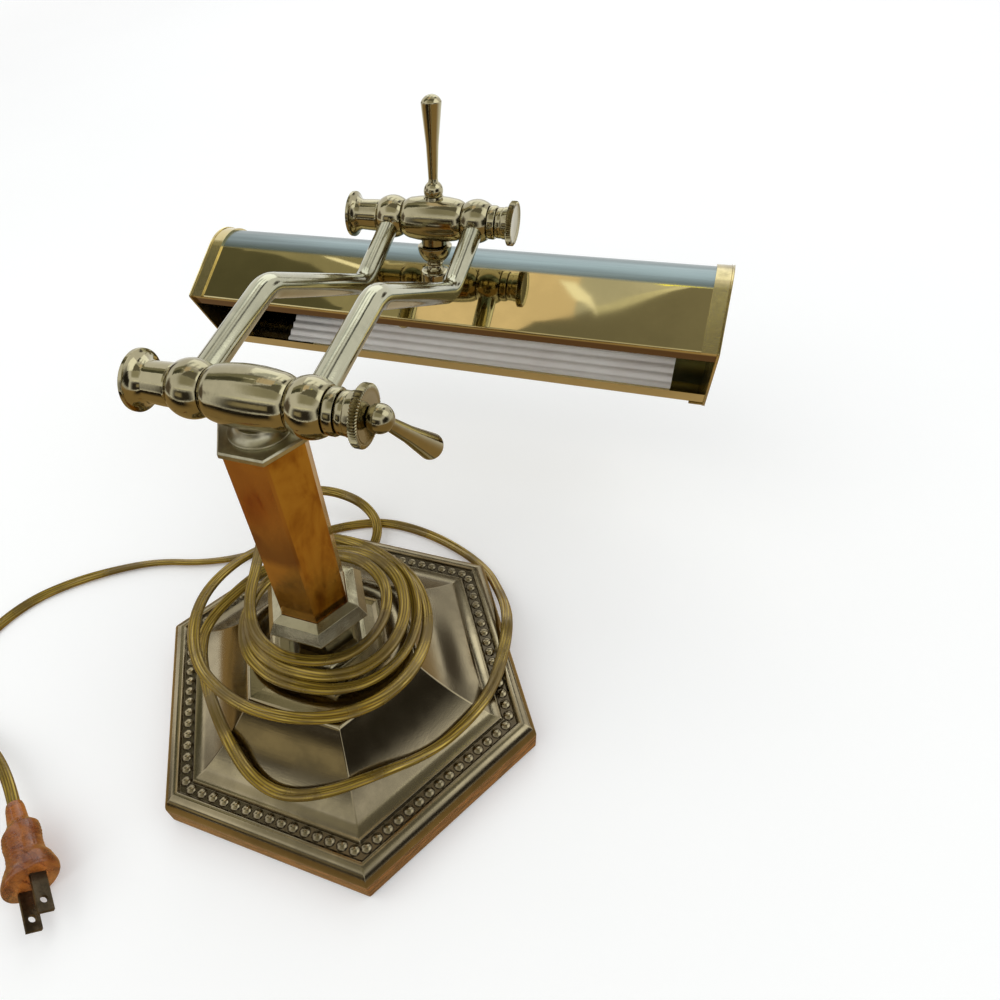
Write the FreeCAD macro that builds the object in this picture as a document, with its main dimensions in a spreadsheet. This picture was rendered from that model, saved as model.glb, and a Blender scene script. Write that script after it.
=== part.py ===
import FreeCAD, Part
import math
import os
import re

import Sketcher

# An adjustable desk lamp: a hexagonal stand, two bent arms between two knuckles, and a trough shade.
# Millimetres, +Z up. X runs along both knuckles and the shade, the arms reach back along +Y,
# and the origin is the middle of the base's underside.

os.makedirs("parts", exist_ok=True)
doc = FreeCAD.newDocument("DeskLamp")

SIZES = {
    # base
    "base_across": 164.5,
    "felt_thickness": 1.2,
    "felt_inset": 0.8,
    "plate_thickness": 1.0,
    "shell_wall": 2.0,
    "skirt_height": 10.3,
    "rim_rise": 7.0,
    "rim_inset": 6.1,
    "band_depth": 1.2,
    "band_slope": 1.6,
    "band_width": 5.2,
    "band_fall": 0.1,
    "line_slope": 0.85,
    "flange_width": 4.4,
    "flange_rise": 0.5,
    "cove_radius": 81.8,
    "cove_start": 30,
    "cove_end": 55,
    "shoulder_radius": 3.5,
    "shoulder_end": 10,
    "plateau_rise": 0.8,
    "weight_inset": 10.0,
    "weight_step_across": 84.0,
    "weight_low": 11.5,
    "weight_high": 22.0,
    # plinth and collar cup
    "plinth_across": 52.0,
    "plinth_side": 1.6,
    "plinth_bevel": 1.3,
    "plinth_bevel_rise": 1.5,
    "plinth_ridge": 1.1,
    "plinth_ridge_fall": 0.15,
    "plinth_slope": 1.9,
    "plinth_recess": 1.2,
    "cup_foot_across": 34.6,
    "cup_foot_height": 1.2,
    "cup_ogee_rise": 2.0,
    "cup_ogee_inset": 5.2,
    "cup_waist_across": 23.4,
    "cup_waist_height": 5.5,
    "cup_flare": 6.9,
    "cup_height": 25.0,
    "lip_out": 1.8,
    "lip_rise": 2.0,
    "lip_bevel": 2.8,
    "lip_bevel_rise": 5.0,
    "lip_top_rise": 1.5,
    "cup_recess": 6.5,
    # column
    "column_across": 26.85,
    "column_wall": 1.2,
    "cap_overhang": 1.1,
    "cap_cove": 1.0,
    "cap_thickness": 1.6,
    "cap_bevel": 0.6,
    "saddle_radius": 11.0,
    "saddle_rim": 0.8,
    "saddle_neck_radius": 7.6,
    "saddle_height": 4.0,
    "saddle_web": 1.94,
    # stem that clamps the stand
    "stem_radius": 4.85,
    "stem_bore": 3.0,
    "stem_nut_across": 16.0,
    "stem_nut_height": 5.0,
    "washer_radius": 10.0,
    "washer_thickness": 1.2,
    "counterbore_radius": 12.0,
    "counterbore_depth": 7.5,
    "stem_tail": 1.0,
    # knuckles, the same hardware twice
    "barrel_half": 14.9,
    "barrel_radius": 10.5,
    "barrel_shoulder_radius": 9.5,
    "barrel_end_radius": 7.8,
    "barrel_shoulder_share": 0.75,
    "barrel_round": 8.2,
    "lobe_radius": 9.95,
    "lobe_half": 6.1,
    "ring_radius": 7.6,
    "ring_width": 3.4,
    "hub_inner_radius": 6.8,
    "hub_outer_radius": 7.4,
    "hub_width": 5.7,
    "disc_radius": 9.9,
    "disc_width": 3.0,
    "disc_dish": 0.8,
    "knurl_depth": 0.35,
    "knurl_count": 48,
    "flange_neck_radius": 7.2,
    "flange_neck_width": 9.0,
    "flange_flare_width": 4.6,
    "flange_rim_radius": 10.6,
    "flange_rim_width": 1.5,
    "flange_dish": 1.0,
    "rod_radius": 3.0,
    "spigot_radius": 1.8,
    "spigot_length": 4.4,
    "bore_floor": 2.0,
    # levers
    "ball_radius": 4.6,
    "ball_flat": 3.2,
    "upper_ball_flat": 2.2,
    "handle_root_radius": 2.3,
    "handle_tip_radius": 4.7,
    "handle_length": 40.5,
    "handle_cap": 3.0,
    "lever_lean": 9,
    "lever_hang": 143,
    # arms
    "knuckle_height": 182.7,
    "arm_radius": 4.75,
    "arm_wall": 1.0,
    "arm_rise": 6.3,
    "arm_first_leg": 53.7,
    "arm_first_turn": 36.2,
    "arm_second_leg": 87.4,
    "arm_second_turn": 45.2,
    "arm_third_leg": 45.5,
    "arm_bend": 17.0,
    "arm_seat": 5.0,
    # neck between the upper knuckle and the shade
    "neck_lean": 8,
    "neck_length": 29.8,
    "boss_radius": 6.4,
    "boss_drop": 1.6,
    "neck_top_radius": 8.4,
    "neck_top_edge": 1.2,
    "neck_bowl_radius": 9.0,
    "neck_bowl_height": 7.0,
    "neck_waist_radius": 3.8,
    "neck_waist_height": 1.2,
    "neck_flare_radius": 7.0,
    "neck_flare_height": 3.4,
    "foot_radius": 7.4,
    "foot_rim": 1.0,
    "spindle_depth": 6.0,
    "foot_screw_radius": 2.0,
    "foot_screw_grip": 4.0,
    "foot_screw_head_radius": 3.8,
    "foot_screw_head": 2.2,
    # shade
    "shade_length": 277.0,
    "shade_tilt": 25,
    "shade_flat": 33.0,
    "shade_back_radius": 24.0,
    "shade_wall": 1.0,
    "front_lip": 7.0,
    "bottom_lip": 9.0,
    "foot_reach": 25.3,
    "end_plate": 1.2,
    "end_band_wall": 1.0,
    "end_band_width": 7.7,
    "reflector_gap": 5.0,
    "reflector_wall": 0.8,
    "reflector_start": 43.5,
    "reflector_end_gap": 17.5,
    "reflector_setback": 12.0,
    "flute_radius": 1.6,
    "flute_pitch": 4.9,
    "flute_count": 6,
    "socket_radius": 14.0,
    "socket_wall": 2.0,
    "socket_length": 66.0,
    "socket_floor": 6.0,
    "socket_reach": 26.0,
    "sleeve_wall": 0.6,
    "sleeve_length": 30.0,
    "holder_radius": 11.5,
    "holder_thickness": 1.5,
    "nipple_radius": 4.8,
    "nipple_length": 10.0,
    "switch_offset": 15.0,
    "switch_width": 15.0,
    "switch_depth": 9.0,
    "switch_height": 6.0,
    "switch_reach": 6.5,
    "stem_bush_radius": 2.6,
    "stem_bush_length": 1.5,
    "switch_stem_radius": 1.6,
    "knob_radius": 4.0,
    "knob_length": 6.0,
    "knob_round": 2.0,
    # cord
    "cord_radius": 2.2,
    "bushing_radius": 5.0,
    "bushing_flange": 2.2,
    "bushing_barrel_radius": 3.8,
    "bushing_depth": 4.0,
    "bushing_side": 18.0,
    "bushing_height": 6.5,
    # plug
    "plug_x": -85.0,
    "plug_y": -126.0,
    "plug_yaw": -37.7,
    "plug_roll": 45,
    "plug_length": 38.0,
    "plug_height": 12.7,
    "plug_rear_major": 3.6,
    "plug_rear_minor": 3.4,
    "plug_strain_major": 5.0,
    "plug_strain_minor": 4.4,
    "plug_grip_major": 10.0,
    "plug_grip_minor": 7.4,
    "plug_face_major": 14.0,
    "plug_face_minor": 11.0,
    "plug_face_rim": 2.5,
    "plug_strain_share": 0.26,
    "plug_grip_start_share": 0.38,
    "plug_grip_end_share": 0.72,
    "blade_length": 17.0,
    "blade_width": 6.35,
    "blade_thickness": 1.5,
    "blade_spacing": 12.7,
    "blade_hole_radius": 1.6,
    "blade_hole_reach": 11.9,
    # fits
    "moving_gap": 0.3,
    "running_fit": 0.06,
    "seat_fit": 0.03,
    "overcut": 1.0,
}

# Places that follow from the sizes.
PLACES = {
    "half_base": "base_across / 2",
    "skirt_top": "felt_thickness + skirt_height",
    "rim_top": "skirt_top + rim_rise",
    "ridge_half": "half_base - rim_inset",
    "band_outer_half": "ridge_half - band_slope",
    "band_inner_half": "band_outer_half - band_width",
    "line_half": "band_inner_half - line_slope",
    "cove_bottom_half": "line_half - flange_width",
    "flange_top": "rim_top + flange_rise",
    "shoulder_half": "cove_bottom_half - cove_radius * (sin(cove_end) - sin(cove_start))",
    "shoulder_z": "flange_top + cove_radius * (cos(cove_start) - cos(cove_end))",
    "crown_half": "shoulder_half - shoulder_radius * (sin(cove_end) - sin(shoulder_end))",
    "crown_z": "shoulder_z + shoulder_radius * (cos(shoulder_end) - cos(cove_end))",
    "plateau_z": "crown_z + plateau_rise",
    "plate_top": "felt_thickness + plate_thickness",
    "plinth_half": "plinth_across / 2",
    "plinth_ridge_half": "plinth_half - plinth_bevel",
    "plinth_ridge_z": "plateau_z + plinth_side + plinth_bevel_rise",
    "plinth_inner_half": "plinth_ridge_half - plinth_ridge",
    "plinth_floor_half": "plinth_inner_half - plinth_slope",
    "plinth_floor_z": "plinth_ridge_z - plinth_recess",
    "cup_waist_z": "plinth_floor_z + cup_waist_height",
    "cup_top_z": "plinth_floor_z + cup_height",
    "lip_half": "cup_waist_across / 2 + cup_flare + lip_out",
    "lip_z": "cup_top_z + lip_rise",
    "lip_ridge_z": "lip_z + lip_bevel_rise",
    "lip_top_z": "lip_ridge_z + lip_top_rise",
    "column_half": "column_across / 2",
    "column_z": "lip_top_z - cup_recess",
    "column_top": "knuckle_height - barrel_radius - saddle_web - cap_bevel - cap_thickness - cap_cove",
    "cap_half": "column_half + cap_overhang",
    "cap_top": "column_top + cap_cove + cap_thickness + cap_bevel",
    "counterbore_top": "plate_top + counterbore_depth",
    "stem_nut_z": "counterbore_top - washer_thickness - stem_nut_height",
    "stem_bottom": "stem_nut_z - stem_tail",
    # along a knuckle, from its middle
    "lobe_middle": "barrel_half + moving_gap + lobe_half",
    "ring_start": "lobe_middle + lobe_half + moving_gap",
    "nut_start": "ring_start + ring_width + moving_gap",
    "nut_end": "nut_start + hub_width + disc_width",
    "ball_middle": "nut_end + moving_gap + ball_flat",
    "flange_length": "flange_neck_width + flange_flare_width + flange_rim_width",
    "flange_face": "ring_start + flange_length",
    # the upper knuckle and the shade
    "second_slope": "arm_rise - arm_first_turn",
    "third_slope": "second_slope + arm_second_turn",
    "bend_one_y": "arm_first_leg * cos(arm_rise)",
    "bend_two_y": "bend_one_y + arm_second_leg * cos(second_slope)",
    "head_y": "bend_two_y + arm_third_leg * cos(third_slope)",
    "bend_one_z": "knuckle_height + arm_first_leg * sin(arm_rise)",
    "bend_two_z": "bend_one_z + arm_second_leg * sin(second_slope)",
    "head_z": "bend_two_z + arm_third_leg * sin(third_slope)",
    "upper_ball_z": "barrel_radius + moving_gap + upper_ball_flat",
    "neck_top": "barrel_radius + boss_drop + moving_gap",
    "bowl_bottom": "neck_top + neck_top_edge + neck_bowl_height",
    "waist_bottom": "bowl_bottom + neck_waist_height",
    "neck_bottom": "waist_bottom + neck_flare_height",
    "panel_y": "head_y - neck_length * sin(neck_lean)",
    "panel_z": "head_z - neck_length * cos(neck_lean)",
    "shade_y": "panel_y - foot_reach * cos(shade_tilt)",
    "shade_z": "panel_z - foot_reach * sin(shade_tilt)",
    "half_shade": "shade_length / 2",
    "shade_drop": "2 * shade_back_radius",
    "reflector_length": "shade_length - reflector_start - reflector_end_gap",
    "reflector_lower_setback": "shade_wall + moving_gap",
    "socket_x": "end_plate + holder_thickness - half_shade",
    "bushing_face": "half_base + bushing_flange",
}


def write_sheet(name, cells):
    """A sheet with one named value in each row."""
    made = doc.addObject("Spreadsheet::Sheet", name)
    for row, (alias, value) in enumerate(cells.items(), start=1):
        made.set(f"A{row}", alias)
        made.set(f"B{row}", value)
        made.setAlias(f"B{row}", alias)
    return made


def spelled(expression):
    """The expression with each size and place written out with its sheet."""

    def full(word):
        name = word.group()
        if name in SIZES:
            return "Sizes." + name
        if name in PLACES:
            return "Places." + name
        return name

    return re.sub(r"[A-Za-z_]\w*", full, str(expression))


sizes = write_sheet("Sizes", {name: str(value) for name, value in SIZES.items()})
places = write_sheet("Places", {name: "=" + spelled(value) for name, value in PLACES.items()})
doc.recompute()


def number(expression):
    """What an expression in sizes and places comes to."""
    return float(sizes.evalExpression(spelled(expression)))


def bind(thing, name, expression):
    thing.setExpression(name, spelled(expression))


def seat(thing, x, y, z, *turns):
    """Puts a piece at a place, after turning it by each (axis, angle), the last one first."""
    turned = " * ".join(f"rotation(vector({axis}); {angle})" for axis, angle in turns)
    if not turns:
        turned = "rotation(vector(0; 0; 1); 0)"
    bind(thing, "Placement", f"placement(vector({x}; {y}; {z}); {turned})")
    return thing


ALONG_X = ("0; 1; 0", "90")
ALONG_Y = ("1; 0; 0", "-90")


def node(thing, label):
    thing.Label = label
    return thing


def origin_part(body, role):
    return [part for part in body.Origin.OriginFeatures if part.Role == role][0]


def arc_middle(start, end, radius, side):
    """The middle point of the arc from start to end that turns left for side 1, right for -1."""
    chord_x = end[0] - start[0]
    chord_y = end[1] - start[1]
    half = math.hypot(chord_x, chord_y) / 2
    sagitta = radius - math.sqrt(max(radius * radius - half * half, 0))
    across_x = chord_y / (2 * half) * side
    across_y = -chord_x / (2 * half) * side
    return (
        (start[0] + end[0]) / 2 + across_x * sagitta,
        (start[1] + end[1]) / 2 + across_y * sagitta,
    )


def vector(point):
    return FreeCAD.Vector(point[0], point[1], 0)


def outline(body, role, points, closed=True):
    """A sketch through the points. A point is (across, up), or (across, up, radius, side) where an
    arc of that radius ends there, turning left for side 1 and right for side -1."""
    sketch = body.newObject("Sketcher::SketchObject", body.Name + "_outline")
    sketch.AttachmentSupport = [(origin_part(body, role), "")]
    sketch.MapMode = "FlatFace"
    values = [(number(point[0]), number(point[1])) for point in points]
    count = len(points) if closed else len(points) - 1
    for index in range(count):
        start = values[index]
        end = values[(index + 1) % len(values)]
        target = points[(index + 1) % len(points)]
        if len(target) == 4:
            middle = arc_middle(start, end, number(target[2]), target[3])
            edge = Part.Arc(vector(start), vector(middle), vector(end))
        else:
            edge = Part.LineSegment(vector(start), vector(end))
        sketch.addGeometry(edge)
    starts = []
    for index in range(count):
        target = points[(index + 1) % len(points)]
        turns_right = len(target) == 4 and target[3] < 0
        starts.append(2 if turns_right else 1)
    for index in range(count if closed else count - 1):
        following = (index + 1) % count
        end = 3 - starts[index]
        sketch.addConstraint(
            Sketcher.Constraint("Coincident", index, end, following, starts[following])
        )
    for index, point in enumerate(points):
        edge, corner = (index, starts[index]) if index < count else (count - 1, 3 - starts[-1])
        for kind, expression, value in zip(("DistanceX", "DistanceY"), point[:2], values[index]):
            place = sketch.addConstraint(Sketcher.Constraint(kind, -1, 1, edge, corner, value))
            bind(sketch, f"Constraints[{place}]", expression)
        if len(point) == 4:
            edge = (index - 1) % count
            radius = number(point[2])
            place = sketch.addConstraint(Sketcher.Constraint("Radius", edge, radius))
            bind(sketch, f"Constraints[{place}]", point[2])
    return sketch


def turned(name, points, axis="V_Axis"):
    """A body turned from an outline of (across, up) points about one of the outline's axes."""
    body = doc.addObject("PartDesign::Body", name)
    sketch = outline(body, "XZ_Plane", points)
    feature = body.newObject("PartDesign::Revolution", name + "_turn")
    feature.Profile = sketch
    feature.ReferenceAxis = (sketch, [axis])
    feature.Angle = 360
    return body


def padded(name, role, points, length):
    """A body of one outline, pushed out along its plane's normal."""
    body = doc.addObject("PartDesign::Body", name)
    sketch = outline(body, role, points)
    feature = body.newObject("PartDesign::Pad", name + "_pad")
    feature.Profile = sketch
    bind(feature, "Length", length)
    return body


def hex_stack(name, rings):
    """A solid through level hexagons, each given by half its width across flats and its height."""
    sections = []
    for half, level in rings:
        ring = doc.addObject("Part::RegularPolygon", name + "_ring")
        ring.Polygon = 6
        bind(ring, "Circumradius", f"({half}) / cos(30)")
        bind(ring, "Placement.Base.z", level)
        sections.append(ring)
    stack = doc.addObject("Part::Loft", name)
    stack.Sections = sections
    stack.Solid = True
    stack.Ruled = True
    return stack


def cylinder(name, radius, length):
    made = doc.addObject("Part::Cylinder", name)
    bind(made, "Radius", radius)
    bind(made, "Height", length)
    return made


def box(name, length, width, height):
    made = doc.addObject("Part::Box", name)
    bind(made, "Length", length)
    bind(made, "Width", width)
    bind(made, "Height", height)
    return made


def cut(name, base, *tools):
    """The base without its tools."""
    left = base
    for index, tool in enumerate(tools, start=1):
        removal = doc.addObject("Part::Cut", name if index == len(tools) else name + "_cut")
        removal.Base = left
        removal.Tool = tool
        left = removal
    return left


def joined(name, *pieces):
    made = doc.addObject("Part::MultiFuse", name)
    made.Shapes = list(pieces)
    return made


def cut_stem_hole(name, piece, fit="running_fit"):
    """The piece with a hole for the stem right through it."""
    hole = cylinder(name + "_hole", f"stem_radius + {fit}", "knuckle_height")
    return cut(name, piece, hole)


# Base


def cove_ring(angle, inset="0"):
    """A ring of the base's hollow slope, where it has this angle, moved inwards by the inset."""
    half = f"cove_bottom_half - cove_radius * (sin({angle}) - sin(cove_start)) - {inset} * sin({angle})"
    level = f"flange_top + cove_radius * (cos(cove_start) - cos({angle})) - {inset} * cos({angle})"
    return half, level


def base_shell():
    rim_steps = 4
    cove_steps = 6
    outer = [("half_base", "felt_thickness"), ("half_base", "skirt_top")]
    for step in range(1, rim_steps + 1):
        angle = f"90 * {step} / {rim_steps}"
        half = f"half_base - rim_inset * (1 - cos({angle}))"
        outer.append((half, f"skirt_top + rim_rise * sin({angle})"))
    outer += [
        ("band_outer_half", "rim_top - band_depth"),
        ("band_inner_half", "rim_top - band_depth - band_fall"),
        ("line_half", "rim_top"),
        ("cove_bottom_half", "flange_top"),
    ]
    inner = [
        ("half_base - shell_wall", "felt_thickness - overcut"),
        ("half_base - shell_wall", "skirt_top - shell_wall"),
        ("band_outer_half", "rim_top - band_depth - band_fall - shell_wall"),
        ("cove_bottom_half", "flange_top - shell_wall"),
    ]
    for step in range(1, cove_steps + 1):
        angle = f"(cove_start + (cove_end - cove_start) * {step} / {cove_steps})"
        outer.append(cove_ring(angle))
        inner.append(cove_ring(angle, "shell_wall"))
    outer += [
        (
            "shoulder_half - shoulder_radius * (sin(cove_end) - sin((cove_end + shoulder_end) / 2))",
            "shoulder_z + shoulder_radius * (cos((cove_end + shoulder_end) / 2) - cos(cove_end))",
        ),
        ("crown_half", "crown_z"),
        ("plinth_half", "plateau_z"),
    ]
    inner.append(("plinth_half", "plateau_z - shell_wall"))
    shell = cut(
        "base_shell_cut", hex_stack("base_shell_outer", outer), hex_stack("base_shell_inner", inner)
    )
    cord_hole = cylinder("cord_hole", "bushing_barrel_radius + seat_fit", "2 * bushing_depth")
    seat(cord_hole, "-bushing_side", "half_base - bushing_depth", "bushing_height", ALONG_Y)
    drilled = cut("base_shell_drilled", shell, cord_hole)
    return node(cut_stem_hole("base_shell", drilled), "base_shell")


def base_filling():
    """The pad, plate and weight that lie inside the shell."""
    felt = doc.addObject("Part::Prism", "base_felt")
    felt.Polygon = 6
    bind(felt, "Circumradius", "(half_base - felt_inset) / cos(30)")
    bind(felt, "Height", "felt_thickness")
    plate = doc.addObject("Part::Prism", "plate_blank")
    plate.Polygon = 6
    bind(plate, "Circumradius", "(half_base - shell_wall - moving_gap) / cos(30)")
    bind(plate, "Height", "plate_thickness")
    seat(plate, "0", "0", "felt_thickness")
    weight = hex_stack(
        "weight_blank",
        [
            ("half_base - weight_inset", "plate_top"),
            ("half_base - weight_inset", "plate_top + weight_low"),
        ],
    )
    step = hex_stack(
        "weight_step",
        [
            ("weight_step_across / 2", "plate_top + weight_low - overcut"),
            ("weight_step_across / 2", "plate_top + weight_high"),
        ],
    )
    nut_space = cylinder("nut_space", "counterbore_radius", "counterbore_depth + overcut")
    seat(nut_space, "0", "0", "plate_top - overcut")
    whole = cut("weight_cut", joined("weight_joined", weight, step), nut_space)
    access = cylinder("plate_access", "counterbore_radius", "plate_top")
    return [
        node(felt, "base_felt"),
        node(cut("base_plate", plate, access), "base_plate"),
        node(cut_stem_hole("base_weight", whole), "base_weight"),
    ]


def stem():
    """The hollow rod from the weight up to the knuckle, with its nut and washer."""
    rod = doc.addObject("Part::Cylinder", "stem_blank")
    bind(rod, "Radius", "stem_radius")
    bind(rod, "Height", "knuckle_height - barrel_radius - seat_fit - stem_bottom")
    seat(rod, "0", "0", "stem_bottom")
    bore = cylinder("stem_bore_tool", "stem_bore", "knuckle_height")
    nut = doc.addObject("Part::Prism", "stem_nut_blank")
    nut.Polygon = 6
    bind(nut, "Circumradius", "stem_nut_across / 2 / cos(30)")
    bind(nut, "Height", "stem_nut_height")
    seat(nut, "0", "0", "stem_nut_z")
    washer = cylinder("washer_blank", "washer_radius", "washer_thickness")
    seat(washer, "0", "0", "counterbore_top - washer_thickness")
    return [
        node(cut("stem_rod", rod, bore), "stem_rod"),
        node(cut_stem_hole("stem_nut", nut, "seat_fit"), "stem_nut"),
        node(cut_stem_hole("stem_washer", washer, "seat_fit"), "stem_washer"),
    ]


def plinth():
    rings = [
        ("plinth_half", "plateau_z"),
        ("plinth_half", "plateau_z + plinth_side"),
        ("plinth_ridge_half", "plinth_ridge_z"),
        ("plinth_inner_half", "plinth_ridge_z - plinth_ridge_fall"),
        ("plinth_floor_half", "plinth_floor_z"),
    ]
    return node(cut_stem_hole("plinth", hex_stack("plinth_blank", rings)), "plinth")


def collar_cup():
    """The flared cup between the plinth and the column: foot, waist, flare and bevelled lip."""
    flare_steps = 5
    rings = [
        ("cup_foot_across / 2", "plinth_floor_z"),
        ("cup_foot_across / 2", "plinth_floor_z + cup_foot_height"),
        (
            "cup_foot_across / 2 - cup_ogee_inset",
            "plinth_floor_z + cup_foot_height + cup_ogee_rise",
        ),
    ]
    for step in range(flare_steps + 1):
        angle = f"90 * {step} / {flare_steps}"
        rings.append(
            (
                f"cup_waist_across / 2 + cup_flare * (1 - cos({angle}))",
                f"cup_waist_z + (cup_top_z - cup_waist_z) * sin({angle})",
            )
        )
    rings += [
        ("lip_half", "lip_z"),
        ("lip_half - lip_bevel", "lip_ridge_z"),
        ("column_half + seat_fit", "lip_top_z"),
    ]
    seat_space = hex_stack(
        "cup_recess_tool",
        [("column_half + seat_fit", "column_z"), ("column_half + seat_fit", "lip_top_z + overcut")],
    )
    blank = cut("collar_cut", hex_stack("collar_blank", rings), seat_space)
    return node(cut_stem_hole("collar_cup", blank), "collar_cup")


def column():
    outer = hex_stack(
        "column_outer", [("column_half", "column_z"), ("column_half", "column_top")]
    )
    inner = hex_stack(
        "column_inner",
        [
            ("column_half - column_wall", "column_z - overcut"),
            ("column_half - column_wall", "column_top + overcut"),
        ],
    )
    cap = hex_stack(
        "cap_blank",
        [
            ("column_half", "column_top"),
            ("cap_half", "column_top + cap_cove"),
            ("cap_half", "column_top + cap_cove + cap_thickness"),
            ("cap_half - cap_bevel", "cap_top"),
        ],
    )
    return [
        node(cut("column", outer, inner), "column"),
        node(cut_stem_hole("column_cap", cap), "column_cap"),
    ]


def barrel_saddle():
    """The dished round seat between the column's cap and the lower barrel."""
    blank = turned(
        "saddle_blank",
        [
            ("stem_radius + running_fit", "0"),
            ("saddle_radius", "0"),
            ("saddle_radius", "saddle_rim"),
            ("saddle_neck_radius", "saddle_height", "saddle_height", -1),
            ("stem_radius + running_fit", "saddle_height"),
        ],
    )
    seat(blank, "0", "0", "cap_top")
    hollow = turned("saddle_hollow", barrel_outline("seat_fit"), "H_Axis")
    seat(hollow, "0", "0", "knuckle_height")
    return node(cut("barrel_saddle", blank, hollow), "barrel_saddle")


# Knuckles


def barrel_outline(grown="0"):
    """Half of a barrel's outline along its axis: a slow curve with quicker rounds at both ends."""
    shoulder = "barrel_half * barrel_shoulder_share"
    drop = "(barrel_radius - barrel_shoulder_radius)"
    crest_radius = f"({shoulder}) * ({shoulder}) / (2 * {drop}) + {drop} / 2"
    return [
        ("-barrel_half", "0"),
        ("barrel_half", "0"),
        ("barrel_half", f"barrel_end_radius + {grown}"),
        (shoulder, f"barrel_shoulder_radius + {grown}", "barrel_round", 1),
        (f"-({shoulder})", f"barrel_shoulder_radius + {grown}", crest_radius, 1),
        ("-barrel_half", f"barrel_end_radius + {grown}", "barrel_round", 1),
    ]


def knuckle_rod(name, length, fit="running_fit"):
    return cylinder(name, f"rod_radius + {fit}", length)


def barrel(name, y, z):
    """A knuckle's middle, with the bore along it."""
    blank = turned(name + "_blank", barrel_outline(), "H_Axis")
    seat(blank, "0", y, z)
    bore = seat(
        knuckle_rod(name + "_bore", "2 * barrel_half + 2 * overcut", "seat_fit"),
        "-barrel_half - overcut",
        y,
        z,
        ALONG_X,
    )
    return blank, bore


def lobe(label, x, y, z, slope):
    """A ball with flat ends on the rod, with the blind bore that an arm's tube sits in."""
    end_radius = "sqrt(lobe_radius * lobe_radius - lobe_half * lobe_half)"
    blank = turned(
        label + "_blank",
        [
            ("-lobe_half", "0"),
            ("lobe_half", "0"),
            ("lobe_half", end_radius),
            ("-lobe_half", end_radius, "lobe_radius", 1),
        ],
        "H_Axis",
    )
    seat(blank, x, y, z)
    bore = knuckle_rod(label + "_bore", "2 * lobe_half + 2 * overcut")
    seat(bore, f"{x} - lobe_half - overcut", y, z, ALONG_X)
    pocket = cylinder(label + "_pocket", "arm_radius + seat_fit", "2 * lobe_radius")
    pocket_y = f"{y} + arm_seat * cos({slope})"
    pocket_z = f"{z} + arm_seat * sin({slope})"
    seat(pocket, x, pocket_y, pocket_z, ("1; 0; 0", slope), ALONG_Y)
    return node(cut(label, blank, bore, pocket), label)


def end_flange(label, y, z):
    """The flared cap on a knuckle's left end."""
    flare = "flange_rim_radius - flange_neck_radius"
    flare_radius = f"(flange_flare_width ^ 2 + ({flare}) ^ 2) / (2 * ({flare}))"
    flare_end = "-ring_start - flange_neck_width - flange_flare_width"
    blank = turned(
        label + "_blank",
        [
            ("-ring_start", "0"),
            ("-ring_start", "flange_neck_radius"),
            ("-ring_start - flange_neck_width", "flange_neck_radius"),
            (flare_end, "flange_rim_radius", flare_radius, -1),
            ("-flange_face", "flange_rim_radius"),
            ("flange_dish - flange_face", "flange_neck_radius"),
            ("flange_dish - flange_face", "0"),
        ],
        "H_Axis",
    )
    seat(blank, "0", y, z)
    bore = knuckle_rod(label + "_bore", "flange_length - bore_floor - flange_dish", "seat_fit")
    seat(bore, "bore_floor + flange_dish - flange_face", y, z, ALONG_X)
    return node(cut(label, blank, bore), label)


def ring(label, y, z):
    blank = cylinder(label + "_blank", "ring_radius", "ring_width")
    seat(blank, "ring_start", y, z, ALONG_X)
    bore = knuckle_rod(label + "_bore", "ring_width + 2 * overcut", "seat_fit")
    seat(bore, "ring_start - overcut", y, z, ALONG_X)
    return node(cut(label, blank, bore), label)


def thumb_nut(label, y, z, blind):
    """A hub with a knurled disc, on the rod's right end. A blind one hides the rod's end."""
    blank = doc.addObject("PartDesign::Body", label + "_blank")
    face = "nut_end - disc_dish" if blind else "nut_end"
    sketch = outline(
        blank,
        "XZ_Plane",
        [
            ("nut_start", "0"),
            ("nut_start", "hub_inner_radius"),
            ("nut_end - disc_width", "hub_outer_radius"),
            ("nut_end - disc_width", "disc_radius"),
            ("nut_end", "disc_radius"),
            (face, "hub_outer_radius"),
            (face, "0"),
        ],
    )
    turn = blank.newObject("PartDesign::Revolution", label + "_turn")
    turn.Profile = sketch
    turn.ReferenceAxis = (sketch, ["H_Axis"])
    turn.Angle = 360
    doc.recompute()
    notch = outline(
        blank,
        "YZ_Plane",
        [
            ("-knurl_depth", "disc_radius + knurl_depth"),
            ("0", "disc_radius - knurl_depth"),
            ("knurl_depth", "disc_radius + knurl_depth"),
        ],
    )
    groove = blank.newObject("PartDesign::Pocket", label + "_groove")
    groove.Profile = notch
    groove.Reversed = True
    bind(groove, "Length", "nut_end + overcut")
    doc.recompute()
    knurl = blank.newObject("PartDesign::PolarPattern", label + "_knurl")
    knurl.Originals = [groove]
    knurl.Axis = (origin_part(blank, "X_Axis"), [""])
    knurl.Angle = 360
    bind(knurl, "Occurrences", "knurl_count")
    blank.Tip = knurl
    seat(blank, "0", y, z)
    depth = "hub_width" if blind else "hub_width + disc_width + overcut"
    bore = knuckle_rod(label + "_bore", f"{depth} + overcut")
    seat(bore, "nut_start - overcut", y, z, ALONG_X)
    return node(cut(label, blank, bore), label)


def lever_outline():
    """Half of a ball with its tapered handle, along the handle."""
    root = "sqrt(ball_radius * ball_radius - handle_root_radius * handle_root_radius)"
    cap_radius = "(handle_tip_radius ^ 2 + handle_cap ^ 2) / (2 * handle_cap)"
    return [
        ("0", "-ball_radius"),
        ("ball_radius", "0", "ball_radius", 1),
        ("handle_root_radius", root, "ball_radius", 1),
        ("handle_tip_radius", "handle_length - handle_cap"),
        ("0", "handle_length", cap_radius, 1),
    ]


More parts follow.
